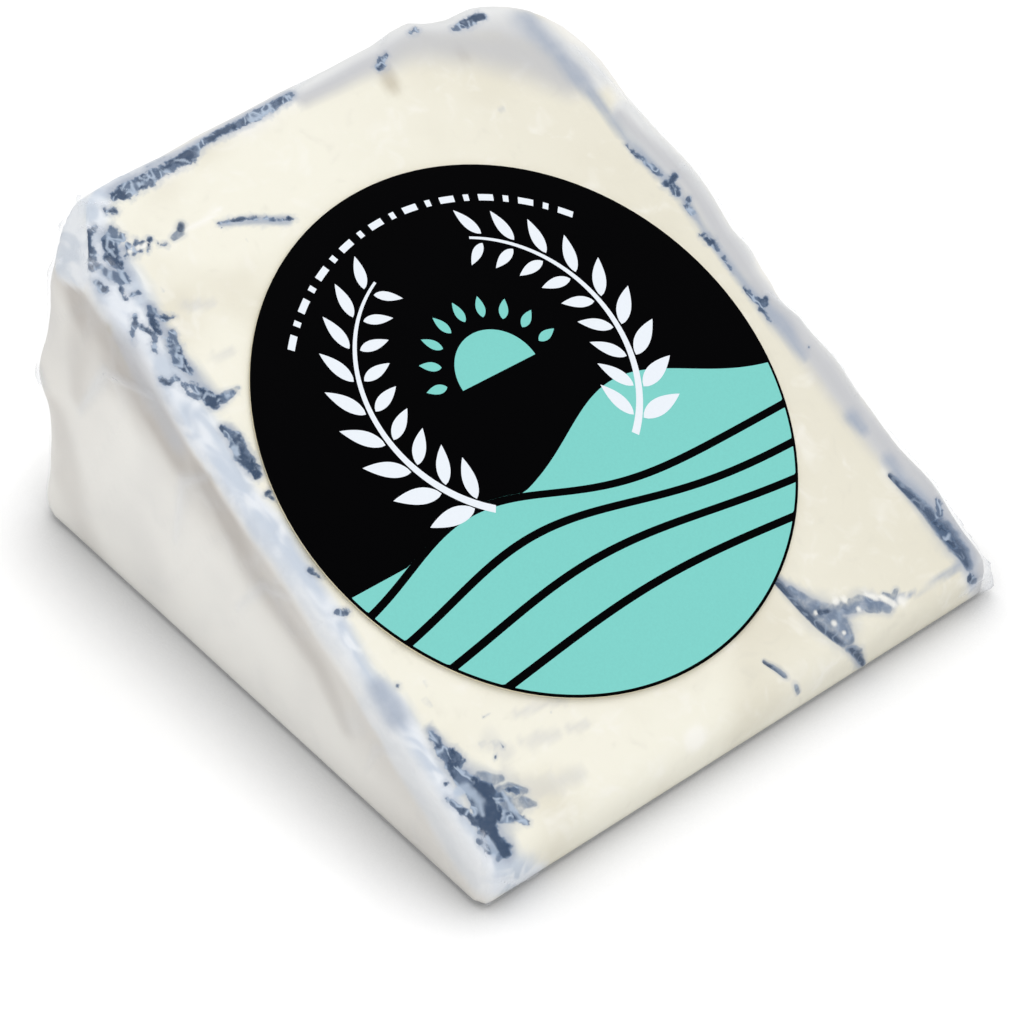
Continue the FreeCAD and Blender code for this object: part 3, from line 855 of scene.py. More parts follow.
@dataclass(frozen=True)
class CheeseFinish:
    """Cream paste, bloomy rind, film haze and blue-grey ash, with painted shade and painted
    highlights, all on one surface.

    Attributes:
        paste: The cut cheese.
        paste_deep_and_shade: Its deeper patches, and the painted shade that darkens the cut face
            towards the right.
        paste_milk: Its milky spots.
        paste_grey: Its greyer spots.
        rind: White bloom.
        rind_grey: Its greyer patches.
        rind_shade: Its soft shade.
        haze: Bluish film.
        haze_white: Film that folds white.
        haze_grey: Film that folds grey.
        bruise: Paste tinged by the ash.
        stain: Warm grey stains.
        shade_and_grey: Grey of the painted shade along the rear and right edges, and of faint grey
            patches of the paste.
        ash: The darkest ash.
        ash_soft: Ash under film.
        crease_highlight: Painted highlight on creases in the film over the ash.
    """

    paste: Colour = colour(244, 241, 226)
    paste_deep_and_shade: Colour = colour(229, 224, 206)
    paste_milk: Colour = colour(251, 249, 242)
    paste_grey: Colour = colour(214, 210, 196)
    rind: Colour = colour(246, 244, 238)
    rind_grey: Colour = colour(236, 234, 229)
    rind_shade: Colour = colour(193, 187, 180)
    haze: Colour = colour(196, 207, 222)
    haze_white: Colour = colour(232, 237, 244)
    haze_grey: Colour = colour(228, 229, 229)
    bruise: Colour = colour(158, 169, 187)
    stain: Colour = colour(190, 180, 158)
    shade_and_grey: Colour = colour(190, 191, 195)
    ash: Colour = colour(16, 56, 92)
    ash_soft: Colour = colour(80, 106, 138)
    crease_highlight: Colour = colour(178, 194, 214)

    def build(self, groups: Groups) -> bpy.types.Material:
        """Make the material.

        Args:
            groups: Shared node groups.

        Returns:
            The material, which reads the painted masks.
        """
        material, tree, shader = new_material("cheese", Coat_Weight=0.15, Coat_Roughness=0.2)
        here = tree.place()
        patchy = tree.noise(2.4 * MM, here, detail=3.0, rough=0.6)
        slow = tree.noise(12 * MM, here, detail=1.5)
        base = tree.blend(tree.painted("rind"), self.paste_tones(tree, here, slow),
                          self.rind_tones(tree, slow))
        base = tree.blend(tree.times(tree.painted("stain"), 0.7), base, self.stain)
        base = self.haze_tones(tree, base)
        # painted shade along the rear and right edges, and faint grey patches of the paste
        base = tree.blend(tree.times(tree.painted("shade_and_grey"), 0.82), base, self.shade_and_grey)
        bruised = tree.times(tree.painted("bruise"),
                            tree.math("ADD", 0.5, tree.times(patchy, 0.6)))
        base = tree.blend(bruised, base, self.bruise)
        base = self.ash_tones(tree, groups, patchy, base)
        tree.link(base, shader["Base Color"])
        pores = tree.noise(0.9 * MM, here, detail=2.0, rough=0.6)
        tree.link(tree.bump(pores, 0.00006, 0.5), shader["Normal"])
        rough = tree.math("ADD", 0.42, tree.times(patchy, 0.16))
        tree.link(rough, shader["Roughness"])
        return material

    def paste_tones(self, tree: Tree, here: Socket,
                    slow: Socket) -> Socket:
        """Cream paste with slow changes of tone, painted shade towards the right, and milky and
        greyer spots.

        Args:
            tree: The material's tree.
            here: The piece's coordinates.
            slow: Noise of large lumps.

        Returns:
            The colour.
        """
        # painted shade: the cut face is painted darker towards the right, where less light falls
        tone = tree.blend(tree.painted("right_shade"), self.paste, self.paste_deep_and_shade)
        tone = tree.blend(tree.rise(slow, 0.45, 0.8), tone, self.paste_deep_and_shade)
        spots = tree.noise(3.4 * MM, here, detail=2.5, rough=0.6, warp=0.6)
        tone = tree.blend(tree.times(tree.rise(spots, 0.5, 0.8), 0.5),
                          tone, self.paste_milk)
        return tree.blend(tree.times(tree.rise(spots, 0.42, 0.15), 0.35),
                          tone, self.paste_grey)

    def rind_tones(self, tree: Tree, slow: Socket) -> Socket:
        """White bloom with greyer patches and soft painted shade, from noise of large lumps."""
        tone = tree.blend(tree.rise(slow, 0.4, 0.75), self.rind, self.rind_grey)
        return tree.blend(tree.painted("shade"), tone, self.rind_shade)

    def haze_tones(self, tree: Tree, base: Socket) -> Socket:
        """Bluish-white haze in soft streaks, as creased film gives it.

        Args:
            tree: The material's tree.
            base: Colour without haze.

        Returns:
            The colour with haze.
        """
        streaks = tree.noise(2.6 * MM, tree.place((1.0, 0.5, 0.8), (0.3, 0.0, 0.5)),
                             detail=1.5, warp=0.8)
        milk = tree.blend(tree.rise(streaks, 0.4, 0.64), self.haze, self.haze_white)
        milk = tree.blend(tree.painted("bloom"), milk, self.haze_grey)
        return tree.blend(tree.times(tree.painted("haze"), 0.92), base, milk)

    def ash_tones(self, tree: Tree, groups: Groups, patchy: Socket,
                  base: Socket) -> Socket:
        """Ash along the edges and ash veins through the paste, with painted highlights on the
        film's creases over the ash.

        Args:
            tree: The material's tree.
            groups: Shared node groups.
            patchy: Noise that makes the ash darker and paler.
            base: Colour without ash.

        Returns:
            The colour with ash.
        """
        blots = tree.group(groups.mark, {
            "Nearness": tree.painted("ash"), "Scale": 1150.0, "Ragged": 3.0})
        veins = tree.group(groups.mark, {
            "Nearness": tree.painted("vein"), "Scale": 800.0, "Ragged": 1.0})
        shards = tree.group(groups.streaks, {"Scale": 640.0, "Width": 0.085})["Streak"]
        halo = tree.math("MAXIMUM", blots["Halo"], tree.times(veins["Halo"], 0.8))
        base = tree.blend(tree.times(halo, 0.42), base, self.bruise)
        base = tree.blend(tree.times(veins["Body"], 0.75), base, self.ash_soft)
        base = tree.blend(tree.times(veins["Core"], 0.8), base, self.ash)
        base = tree.blend(tree.times(blots["Body"], 0.85), base, self.ash_soft)
        base = tree.blend(tree.times(tree.painted("lump"), 0.8), base, self.paste_milk)
        depth = tree.math("ADD", 0.35, tree.times(tree.rise(patchy, 0.58, 0.44), 0.65))
        base = tree.blend(tree.times(blots["Core"], depth), base, self.ash)
        # painted highlights: pale streaks where the film's creases catch the light over the ash
        light = tree.times(shards, tree.rise(patchy, 0.44, 0.54))
        body = tree.math("MAXIMUM", blots["Body"], tree.times(veins["Body"], 0.4))
        lit = tree.times(tree.times(light, body), 0.85)
        base = tree.blend(lit, base, self.crease_highlight)
        # painted highlights on the listed creases over the ash
        return tree.blend(tree.times(tree.painted("glint"), 0.75), base, self.crease_highlight)


@dataclass(frozen=True)
class FilmFinish:
    """Clear film that turns milky where it folds, with a painted reflection that whitens it at
    grazing angles.

    Attributes:
        tint: Colour of its milk and of its painted reflection.
        clear: Alpha where it is tight.
    """

    tint: Colour = colour(236, 240, 246)
    clear: float = 0.02

    def build(self) -> bpy.types.Material:
        """Make the material.

        Returns:
            The material, which reads the painted fold.
        """
        material, tree, shader = new_material("film", Base_Color=self.tint, Roughness=0.15, IOR=1.5)
        # painted reflection: the white film grows more opaque at grazing angles, a whitish rim at
        # its outline
        grazing = tree.add("LayerWeight", {"Blend": 0.25}).outputs["Facing"]
        edge = tree.times(tree.math("POWER", grazing, 3.0), 0.25)
        milk = tree.math("ADD", tree.times(tree.painted("fold"), 0.6), edge)
        tree.link(tree.math("ADD", milk, self.clear), shader["Alpha"])
        ripple = tree.noise(4.0 * MM, tree.place((1.0, 0.4, 1.0), (0.0, 0.0, 0.5)), detail=1.0)
        tree.link(tree.bump(ripple, 0.0002, 0.3), shader["Normal"])
        return material


@dataclass(frozen=True)
class InkFinish:
    """Printed or plain coated paper in one ink.

    Attributes:
        name: Name of the material.
        ink: Its colour.
        grain: How much the colour varies.
        shine: How strongly it reflects.
        cut_edge: Colour of the paper where it is cut, or None where the ink covers it.
    """

    name: str
    ink: Colour
    grain: float
    shine: float
    cut_edge: Colour | None = None

    def build(self, groups: Groups, up: Vector) -> bpy.types.Material:
        """Make the material.

        Args:
            groups: Shared node groups.
            up: Direction that the print faces.

        Returns:
            The material.
        """
        material, tree, shader = new_material(
            self.name, Roughness=0.3, Specular_IOR_Level=self.shine)
        grain = tree.group(groups.grain, {"Scale": 3600.0, "Amount": self.grain})
        tone = tree.add("VectorMath", {0: self.ink[:3], "Scale": grain["Tone"]},
                        operation="SCALE").outputs[0]
        if self.cut_edge is not None:
            facing = tree.add("VectorMath", {0: tree.add("NewGeometry").outputs["Normal"], 1: up},
                              operation="DOT_PRODUCT").outputs["Value"]
            tone = tree.blend(tree.rise(facing, 0.7, 0.3), tone, self.cut_edge)
        tree.link(tone, shader["Base Color"])
        wave = tree.noise(9 * MM, tree.place((1.0, 0.35, 1.0), (0.0, 0.0, 0.4)), detail=1.0)
        height = tree.math("ADD", wave, tree.times(grain["Height"], 0.01))
        tree.link(tree.bump(height, 0.00025, 0.5), shader["Normal"])
        return material


# ---------------------------------------------------------------- how the film pulls the shape


@dataclass(frozen=True)
class Nudge:
    """A soft push on everything near a point.

    Attributes:
        spot_mm: The point.
        push_mm: How far the point itself is moved.
        reach_mm: Distance at which the push has died away.
    """

    spot_mm: Point
    push_mm: Point
    reach_mm: float

    def share(self, points: Array) -> Array:
        """Give how much of the push each point takes, from 0 to 1."""
        away = np.linalg.norm(points / MM - np.array(self.spot_mm), axis=1)
        return smoothstep(away, self.reach_mm, 0.0)


@dataclass(frozen=True)
class Drape:
    """How the tight film draws the wedge's edges and corners out of their plain shape.

    Attributes:
        corner_mm: A point of the flat facet across the rear left corner.
        facing: Direction that the facet faces.
        flatness: How much of what stands beyond the facet is drawn in.
        rear_mm: Places across the wedge, and how far the rear edge stands out at each.
        nudges: Pushes elsewhere.
    """

    corner_mm: Point = (-38.9, 33.5, 37.5)
    facing: Point = (-0.75, 0.194, 0.632)
    flatness: float = 0.96
    rear_mm: tuple[tuple[float, float], ...] = (
        (-34.0, 0.5), (-29.0, 1.0), (-22.7, 1.0), (-17.4, 1.5), (-6.5, 1.8), (1.0, 1.9),
        (8.0, 2.4), (11.5, 3.2), (14.2, 3.3), (16.4, 1.9), (19.0, 1.0), (22.5, 0.9),
        (26.0, 0.3), (30.0, 0.1))
    nudges: tuple[Nudge, ...] = (
        Nudge((-37.6, 35.2, 40.0), (0.8, -0.3, -0.5), 6.5),
        Nudge((-38.9, 34.0, 30.0), (0.3, -0.25, 0.0), 8.0),
        Nudge((-38.9, 34.0, 12.0), (0.5, -0.4, 0.0), 8.0),
        Nudge((-38.9, 35.0, 21.5), (-0.6, 0.4, 0.0), 5.5),
        Nudge((-38.9, 36.0, 2.5), (-0.5, 0.4, 0.0), 4.0),
        Nudge((34.5, 29.5, 41.0), (-0.4, -0.4, -0.1), 8.0),
        Nudge((36.0, 10.0, 30.5), (0.7, 0.0, 0.5), 11.0),
        Nudge((36.6, -5.5, 23.4), (-0.5, 0.0, -0.4), 3.4),
        Nudge((36.0, 22.0, 36.5), (-0.3, 0.0, -0.2), 5.0),
        Nudge((35.6, 0.5, 26.8), (0.4, 0.0, 0.3), 3.5),
        Nudge((37.0, -14.0, 19.5), (0.3, 0.0, 0.2), 5.0),
        Nudge((38.0, -30.0, 11.0), (0.5, 0.0, 0.4), 7.0),
    )

    def pull(self, points: Array, ramp: Ramp, share: float) -> Array:
        """Move points as the film pulls them.

        Args:
            points: Where they are.
            ramp: Frame of the upper cut face.
            share: How much of the stand-out at the rear edge they take.

        Returns:
            Where they end up.
        """
        spots = ramp.measure(points)
        out = np.interp(spots[:, 0], *zip(*self.rear_mm)) * share
        out *= smoothstep(spots[:, 1], 76.0, 82.5) * smoothstep(spots[:, 2], -9.0, -1.0)
        points = points + out[:, None] * np.array(ramp.up) * MM
        for nudge in self.nudges:
            points = points + nudge.share(points)[:, None] * np.array(nudge.push_mm) * MM
        over = np.maximum(self.beyond(points), 0.0)[:, None] * MM
        return points - over * np.array(self.facing) * self.flatness

    def beyond(self, points: Array) -> Array:
        """Measure how far points are outside the facet, in millimetres."""
        return (points / MM - np.array(self.corner_mm)) @ np.array(self.facing)


# ---------------------------------------------------------------- the cheese


@dataclass
class Cheese:
    """The wedge of cheese, just inside the film.

    Attributes:
        ramp: Frame of the upper cut face.
        drape: How the film pulls its edges.
        pattern: Where its ash and stains are.
        voxel: Size of the faces away from the ash.
        inset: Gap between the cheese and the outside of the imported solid.
        groove_mm: Depth of the ash veins.
        swell_mm: Height of the swells beside the vein at the front right.
        line_in_mm: How far inside the rind the ash line lies on a cut.
        ash_edge_mm: How soft and ragged the edges of the ash are.
        rear_share: How much of the film's stand-out at the rear edge the cheese takes.
        fine_within: Nearness to a mark below which the faces are halved, at each pass.
        least_mm: Half width that a thinner mark counts as having in those passes.
        swells: Place across and up the face, and reach, of each swell, all in millimetres.
    """

    ramp: Ramp
    drape: Drape = field(default_factory=Drape)
    pattern: AshPattern = field(default_factory=AshPattern)
    voxel: float = 0.7 * MM
    inset: float = 0.3 * MM
    groove_mm: float = 0.4
    swell_mm: float = 0.22
    line_in_mm: float = 3.6
    ash_edge_mm: float = 0.4
    rear_share: float = 0.75
    fine_within: tuple[float, ...] = (2.1, 1.5)
    least_mm: float = 0.55
    swells: tuple[Mark, ...] = (
        (9.5, 1.6, 4.2), (18.6, 0.6, 2.0), (24.0, -0.4, 2.4), (26.0, 4.6, 2.6),
        (17.6, 5.6, 1.6), (29.5, -0.2, 2.6))

    def build(self, finish: bpy.types.Material) -> Piece:
        """Model and dress the cheese.

        Args:
            finish: Its material.

        Returns:
            The piece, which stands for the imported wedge.
        """
        piece = copy_of_node("wrapped_wedge", "cheese", self.voxel, 3)
        side = self.side_tree(piece)
        marks = self.pattern.dark() + self.pattern.veins + self.pattern.smoke + self.pattern.glints
        for reach in self.fine_within:
            spots = self.ramp.measure(points_of(piece))
            refine(piece, nearest(marks, self.ramp, spots, self.least_mm) < reach)
        points = points_of(piece)
        spots = self.ramp.measure(points)
        depth = self.depth_in(side, points)
        put_points(piece, self.drape.pull(points, self.ramp, self.rear_share))
        self.shape(piece, spots, depth)
        self.paint(piece, spots, depth, points)
        piece.data.materials.append(finish)
        piece.data.shade_smooth()
        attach(piece, BODY)
        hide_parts("wrapped_wedge")
        LOG.info("cheese: %d faces", len(piece.data.polygons))
        return piece

    def side_tree(self, piece: Piece) -> BVHTree:
        """Collect the faces of the wheel's own outside: its two flat sides and its rim.

        Args:
            piece: The cheese, before it is shaped.

        Returns:
            A tree that finds the nearest of those faces.
        """
        mesh = piece.data
        corners = [vertex.co.copy() for vertex in mesh.vertices]
        faces = [tuple(face.vertices) for face in mesh.polygons
                 if abs(face.normal.x) > 0.8 or face.normal.y > 0.8]
        return BVHTree.FromPolygons(corners, faces)

    def depth_in(self, side: BVHTree, points: Array) -> Array:
        """Measure how far points lie inside the rind, in millimetres."""
        return np.array([side.find_nearest(Vector(point))[3] for point in points]) / MM

    def shape(self, piece: Piece, spots: Array, depth: Array) -> None:
        """Draw the surface in under the film and give it its lumps, grooves and swells.

        Args:
            piece: The cheese.
            spots: Its vertices as u, v and w.
            depth: How far each lies inside the rind, in millimetres.
        """
        free = smoothstep(points_of(piece)[:, 2], 0.2 * MM, 2.5 * MM)
        rind = smoothstep(depth, 2.4, 0.4)
        height = cloud(spots, 12.0, 3, 2) * (0.05 + 0.10 * rind)
        height += cloud(spots, 1.8, 4, 2) * 0.02
        ash = smoothstep(nearest(self.pattern.dark(), self.ramp, spots), 1.6, 0.6)
        height += (cloud(spots, 1.1, 5, 2) * 0.10 - 0.12) * ash
        vein = nearest(self.pattern.veins, self.ramp, spots)
        height -= self.groove_mm * smoothstep(vein, 1.6, 0.2)
        height += self.swell_mm * self.swell(spots)
        raise_by(piece, (height * free * MM) - self.inset)

    def swell(self, spots: Array) -> Array:
        """Soft swells of paste either side of the vein at the front right.

        Args:
            spots: The vertices as u, v and w.

        Returns:
            A height of about 0 to 1 for each vertex.
        """
        total = np.zeros(len(spots))
        for u, v, reach in self.swells:
            away = np.hypot(spots[:, 0] - u, spots[:, 1] - v) / reach
            total += smoothstep(away, 1.0, 0.2) * smoothstep(spots[:, 2], -5.0, -0.5)
        return total

    def paint(self, piece: Piece, spots: Array, depth: Array,
              points: Array) -> None:
        """Store the masks that the finish reads.

        Args:
            piece: The cheese.
            spots: Its vertices as u, v and w.
            depth: How far each lies inside the rind, in millimetres.
            points: Its vertices before they were shaped.
        """
        def near(group: tuple[Stroke, ...]) -> Array:
            """Give the nearness of the nearest stroke."""
            return nearest(group, self.ramp, spots)

        pattern = self.pattern
        wobble = cloud(spots, 6.0, 7)
        ash = nearest(pattern.dark(), self.ramp, spots, soft=self.ash_edge_mm)
        veins = np.minimum(near(pattern.veins), near(pattern.specks) + 0.3)
        facet = smoothstep(self.drape.beyond(points_of(piece)), -0.9, -0.1)
        haze = smoothstep(near(pattern.haze) + 0.22 * wobble, 1.25, 0.5)
        left = smoothstep(spots[:, 0], -36.5, -38.2)
        plain = left * 0.8 * smoothstep(spots[:, 1], 50.0, 26.0)
        # painted shade along the rear and right edges; the faint grey patches of the paste join it
        # below
        shade_and_grey = smoothstep(near(pattern.shade_and_grey) + 0.1 * wobble, 1.5, 0.1)
        faint = smoothstep(near(pattern.faint) + 0.5 * cloud(spots, 1.6, 9), 1.3, 0.2)
        glint = near(pattern.glints) + 0.5 * cloud(spots, 0.9, 10, 2)
        paint(
            piece,
            rind=smoothstep(depth + 0.8 * wobble, 3.4, 1.6),
            ash=np.minimum(ash, self.line_below(spots, depth, points, wobble)),
            vein=np.minimum(veins, np.maximum(near(pattern.smoke), 0.95)),
            bruise=smoothstep(near(pattern.bruise) + 0.15 * wobble, 1.15, 0.1),
            haze=np.maximum(haze, facet * 0.8),
            bloom=np.maximum(smoothstep(spots[:, 0], -30.0, -20.0), plain),
            # painted shade on the cut face, darker towards the right
            right_shade=smoothstep(spots[:, 0] + 3.0 * wobble, -12.0, 34.0) * 0.8,
            stain=smoothstep(near(pattern.stains) + 0.2 * wobble, 1.3, 0.2),
            shade=self.shade(spots, left, wobble) * (1.0 - facet),
            shade_and_grey=np.maximum(shade_and_grey, faint * 0.4),
            glint=smoothstep(glint, 1.5, 0.3),
            lump=smoothstep(near(pattern.lumps) + 0.2 * wobble, 1.3, 0.5),
        )

    def line_below(self, spots: Array, depth: Array, points: Array,
                   wobble: Array) -> Array:
        """Nearness of the ash line inside the rind, on the face that the wedge lies on.

        Args:
            spots: The vertices as u, v and w.
            depth: How far each lies inside the rind, in millimetres.
            points: The vertices before they were shaped.
            wobble: Noise that bends the line.

        Returns:
            1 at the edge of the line, less inside it and more outside it.
        """
        below = smoothstep(points[:, 2], 1.4 * MM, 0.5 * MM)
        width = 0.25 + 0.35 * np.clip(cloud(spots, 9.0, 8) + 0.6, 0.1, 1.4)
        return np.abs(depth - self.line_in_mm - 0.5 * wobble) / width + FAR * (1.0 - below)

    def shade(self, spots: Array, left: Array, wobble: Array) -> Array:
        """Soft shade of the rind under the upper edge, at both ends and in the folds.

        Args:
            spots: The vertices as u, v and w.
            left: How far each belongs to the left side, from 0 to 1.
            wobble: Noise that makes the edges of the shade uneven.

        Returns:
            The shade, from 0 to 1.
        """
        drop = -spots[:, 2]
        lower = np.maximum(drop - 3.0 - 0.8 * wobble, 0.0)
        band = left * smoothstep(drop, 0.4, 2.4) * np.exp(-(lower / 5.0) ** 2)
        amount = np.interp(spots[:, 1], (0.0, 14.0, 30.0, 50.0, 60.0, 68.0, 80.0),
                           (0.3, 0.5, 0.5, 0.85, 1.0, 1.0, 0.6))
        front = left * 0.35 * smoothstep(spots[:, 1], 22.0, 6.0)
        rear = left * 0.3 * smoothstep(spots[:, 1], 56.0, 78.0)
        folds = nearest(self.pattern.folds, self.ramp, spots) + 0.25 * wobble
        fold = left * smoothstep(folds, 1.4, 0.1)
        return np.minimum(np.maximum(np.maximum(band * amount, front), rear) + 0.35 * fold, 1.0)


# ---------------------------------------------------------------- the film


@dataclass
class Film:
    """Clear film drawn tight around the cheese.

    Attributes:
        ramp: Frame of the upper cut face.
        drape: How it pulls the wedge's edges.
        voxel: Size of the faces away from the creases.
        lift_mm: Height of the loose folds.
        ridge_mm: Height of the creases.
        tight_mm: How far it is drawn in everywhere.
        fine_within: Nearness to a crease below which the faces are halved.
        creases: Lines along which it is gathered.
        tips: Corners that stand out, milky, and painted whiter for the highlights they catch.
    """

    ramp: Ramp
    drape: Drape = field(default_factory=Drape)
    voxel: float = 0.8 * MM
    lift_mm: float = 0.35
    ridge_mm: float = 0.35
    tight_mm: float = 0.06
    fine_within: float = 2.0
    creases: tuple[Stroke, ...] = strokes(
        ((-38.9, -0.5, 0.7), (-38.9, 20.0, 0.7), (-39.0, 50.0, 0.8), (-38.8, 80.0, 0.8)),
        ((-36.0, 4.0, 0.4), (-38.6, -0.6, 0.6)), ((-34.6, 0.0, 0.35), (-38.8, -0.6, 0.5)),
        ((-38.6, 76.0, 0.5), (-35.4, 74.4, 0.3)), ((-37.6, 80.6, 0.5), (-34.0, 78.0, 0.3)),
        ((-38.4, 79.0, 0.35), (-37.4, 76.0, 0.35), (-37.9, 73.0, 0.3)),
        ((-36.2, 81.8, 0.5), (-31.4, 80.0, 0.3)),
        ((-30.0, 83.9, 0.6), (-5.0, 84.4, 0.6), (8.0, 85.0, 0.8), (22.0, 84.6, 0.8)),
        ((-4.0, 82.6, 0.4), (4.0, 84.8, 0.5)), ((9.0, 82.8, 0.4), (14.0, 85.4, 0.6)),
        ((31.0, 76.0, 0.5), (33.6, 64.0, 0.6), (34.6, 50.0, 0.5)),
        ((33.2, 57.0, 0.4), (34.8, 53.0, 0.5), (34.4, 44.0, 0.4)),
        ((33.4, 39.5, 0.4), (35.2, 36.0, 0.5), (35.8, 24.0, 0.5)),
        ((36.4, 18.0, 0.5), (36.6, 9.0, 0.5), (37.2, 2.0, 0.6)),
        ((33.0, -0.4, 0.5), (37.6, 1.2, 0.6)),
    ) + strokes(
        ((-38.6, 0.2, 0.6), (-35.0, 3.0, 0.5), (-31.0, 5.0, 0.4)),
        ((-38.8, 0.4, 0.6), (-37.6, 5.0, 0.5)), ((33.0, 2.6, 0.5), (38.0, 2.0, 0.7)),
        side=Side.FRONT) + strokes(
        ((2.0, 0.4, 0.6), (6.0, 4.0, 0.8), (12.0, 7.0, 0.5)),
        ((15.0, 0.3, 0.6), (19.0, 4.0, 0.9), (21.0, 10.0, 0.6)),
        ((34.0, 0.4, 0.6), (40.0, 5.0, 1.1), (45.0, 14.0, 0.7)),
        ((50.0, 0.8, 0.6), (55.0, 7.0, 1.2), (57.0, 18.0, 0.7)),
        ((60.0, 1.0, 0.5), (70.0, 8.0, 1.2), (76.0, 20.0, 0.7)),
        ((80.0, 3.0, 0.6), (84.0, 14.0, 1.2), (86.0, 26.0, 0.8)),
        side=Side.LEFT)
    tips: tuple[Nudge, ...] = (
        Nudge((-38.9, 33.6, 37.0), (-0.6, 0.3, 0.1), 1.5),
        Nudge((-34.0, 33.6, 43.8), (-0.6, 0.6, 0.8), 1.5),
        Nudge((-36.4, 34.4, 41.0), (-0.4, 0.5, 0.3), 1.3),
        Nudge((-38.9, 35.0, 21.5), (-0.3, 0.2, 0.0), 2.2),
        Nudge((38.4, -39.3, 2.2), (1.5, -0.8, 0.6), 2.1),
        Nudge((38.4, -39.3, 0.8), (1.4, -0.4, 0.0), 1.5),
        Nudge((38.2, -38.6, 4.4), (0.8, -0.4, 0.4), 1.5),
    )

    def build(self, finish: bpy.types.Material) -> Piece:
        """Model and dress the film.

        Args:
            finish: Its material.

        Returns:
            The piece.
        """
        piece = copy_of_node("wrapped_wedge", "film", self.voxel, 1)
        spots = self.ramp.measure(points_of(piece))
        refine(piece, nearest(self.creases, self.ramp, spots) < self.fine_within)
        points = points_of(piece)
        spots = self.ramp.measure(points)
        put_points(piece, self.drape.pull(points, self.ramp, 1.0))
        ridge = smoothstep(nearest(self.creases, self.ramp, spots), 1.6, 0.0) ** 1.5
        folds = self.folds(spots)
        loose = self.looseness(spots, points)
        free = smoothstep(points[:, 2], 0.2 * MM, 2.0 * MM)
        height = (folds * loose * self.lift_mm + ridge * self.ridge_mm) * free
        raise_by(piece, (height - self.tight_mm) * MM)
        points = points_of(piece)
        milk = np.maximum(ridge * 0.5, (0.04 + 0.3 * folds) * loose)
        for tip in self.tips:
            share = tip.share(points)
            points = points + share[:, None] * np.array(tip.push_mm) * MM
            # milky film at the tips, painted whiter for their highlights
            milk = np.maximum(milk, share * 0.9)
        points[:, 2] = np.maximum(points[:, 2], 0.0)
        put_points(piece, points)
        paint(piece, fold=milk)
        piece.data.materials.append(finish)
        piece.data.shade_smooth()
        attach(piece, BODY)
        LOG.info("film: %d faces", len(piece.data.polygons))
        return piece

    def folds(self, spots: Array) -> Array:
        """Sharp-crested folds, from 0 to 1, that run down from the edges."""
        wave = cloud(spots, (3.2, 4.0, 11.0), 21, 2)
        return np.clip(1.0 - np.abs(wave) * 3.2, 0.0, 1.0) ** 1.5

    def looseness(self, spots: Array, points: Array) -> Array:
        """How slack the film is: tight on the cut faces and slack along the edges and corners.

        Args:
            spots: Its vertices as u, v and w.
            points: Its vertices.

        Returns:
            0 where it is tight, and more where it is slack.
        """
        low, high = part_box("wrapped_wedge")
        across = np.minimum(points[:, 0] - low.x, high.x - points[:, 0]) / MM
        behind = (high.y - points[:, 1]) / MM
        near_side = smoothstep(np.minimum(across, behind), 5.0, 1.0)
        near_ramp = smoothstep(spots[:, 2], -14.0, -1.0)
        free = smoothstep(points[:, 2], 0.3 * MM, 3.0 * MM)
        return near_side * (0.2 + 0.5 * near_ramp) * free


# ---------------------------------------------------------------- the label


@dataclass(frozen=True)
class Hill:
    """The crest line of one rolling hill on the label, in millimetres.

    Attributes:
        rest: Height at the far ends.
        rise: Height of the crest above them.
        crest: Where the crest is, across the label.
        spread: How wide the hill is.
    """

    rest: float
    rise: float
    crest: float
    spread: float

    def height(self, across: Array) -> Array:
        """Height of the line at places across the label."""
        return self.rest + self.rise * np.exp(-((across - self.crest) / self.spread) ** 2)


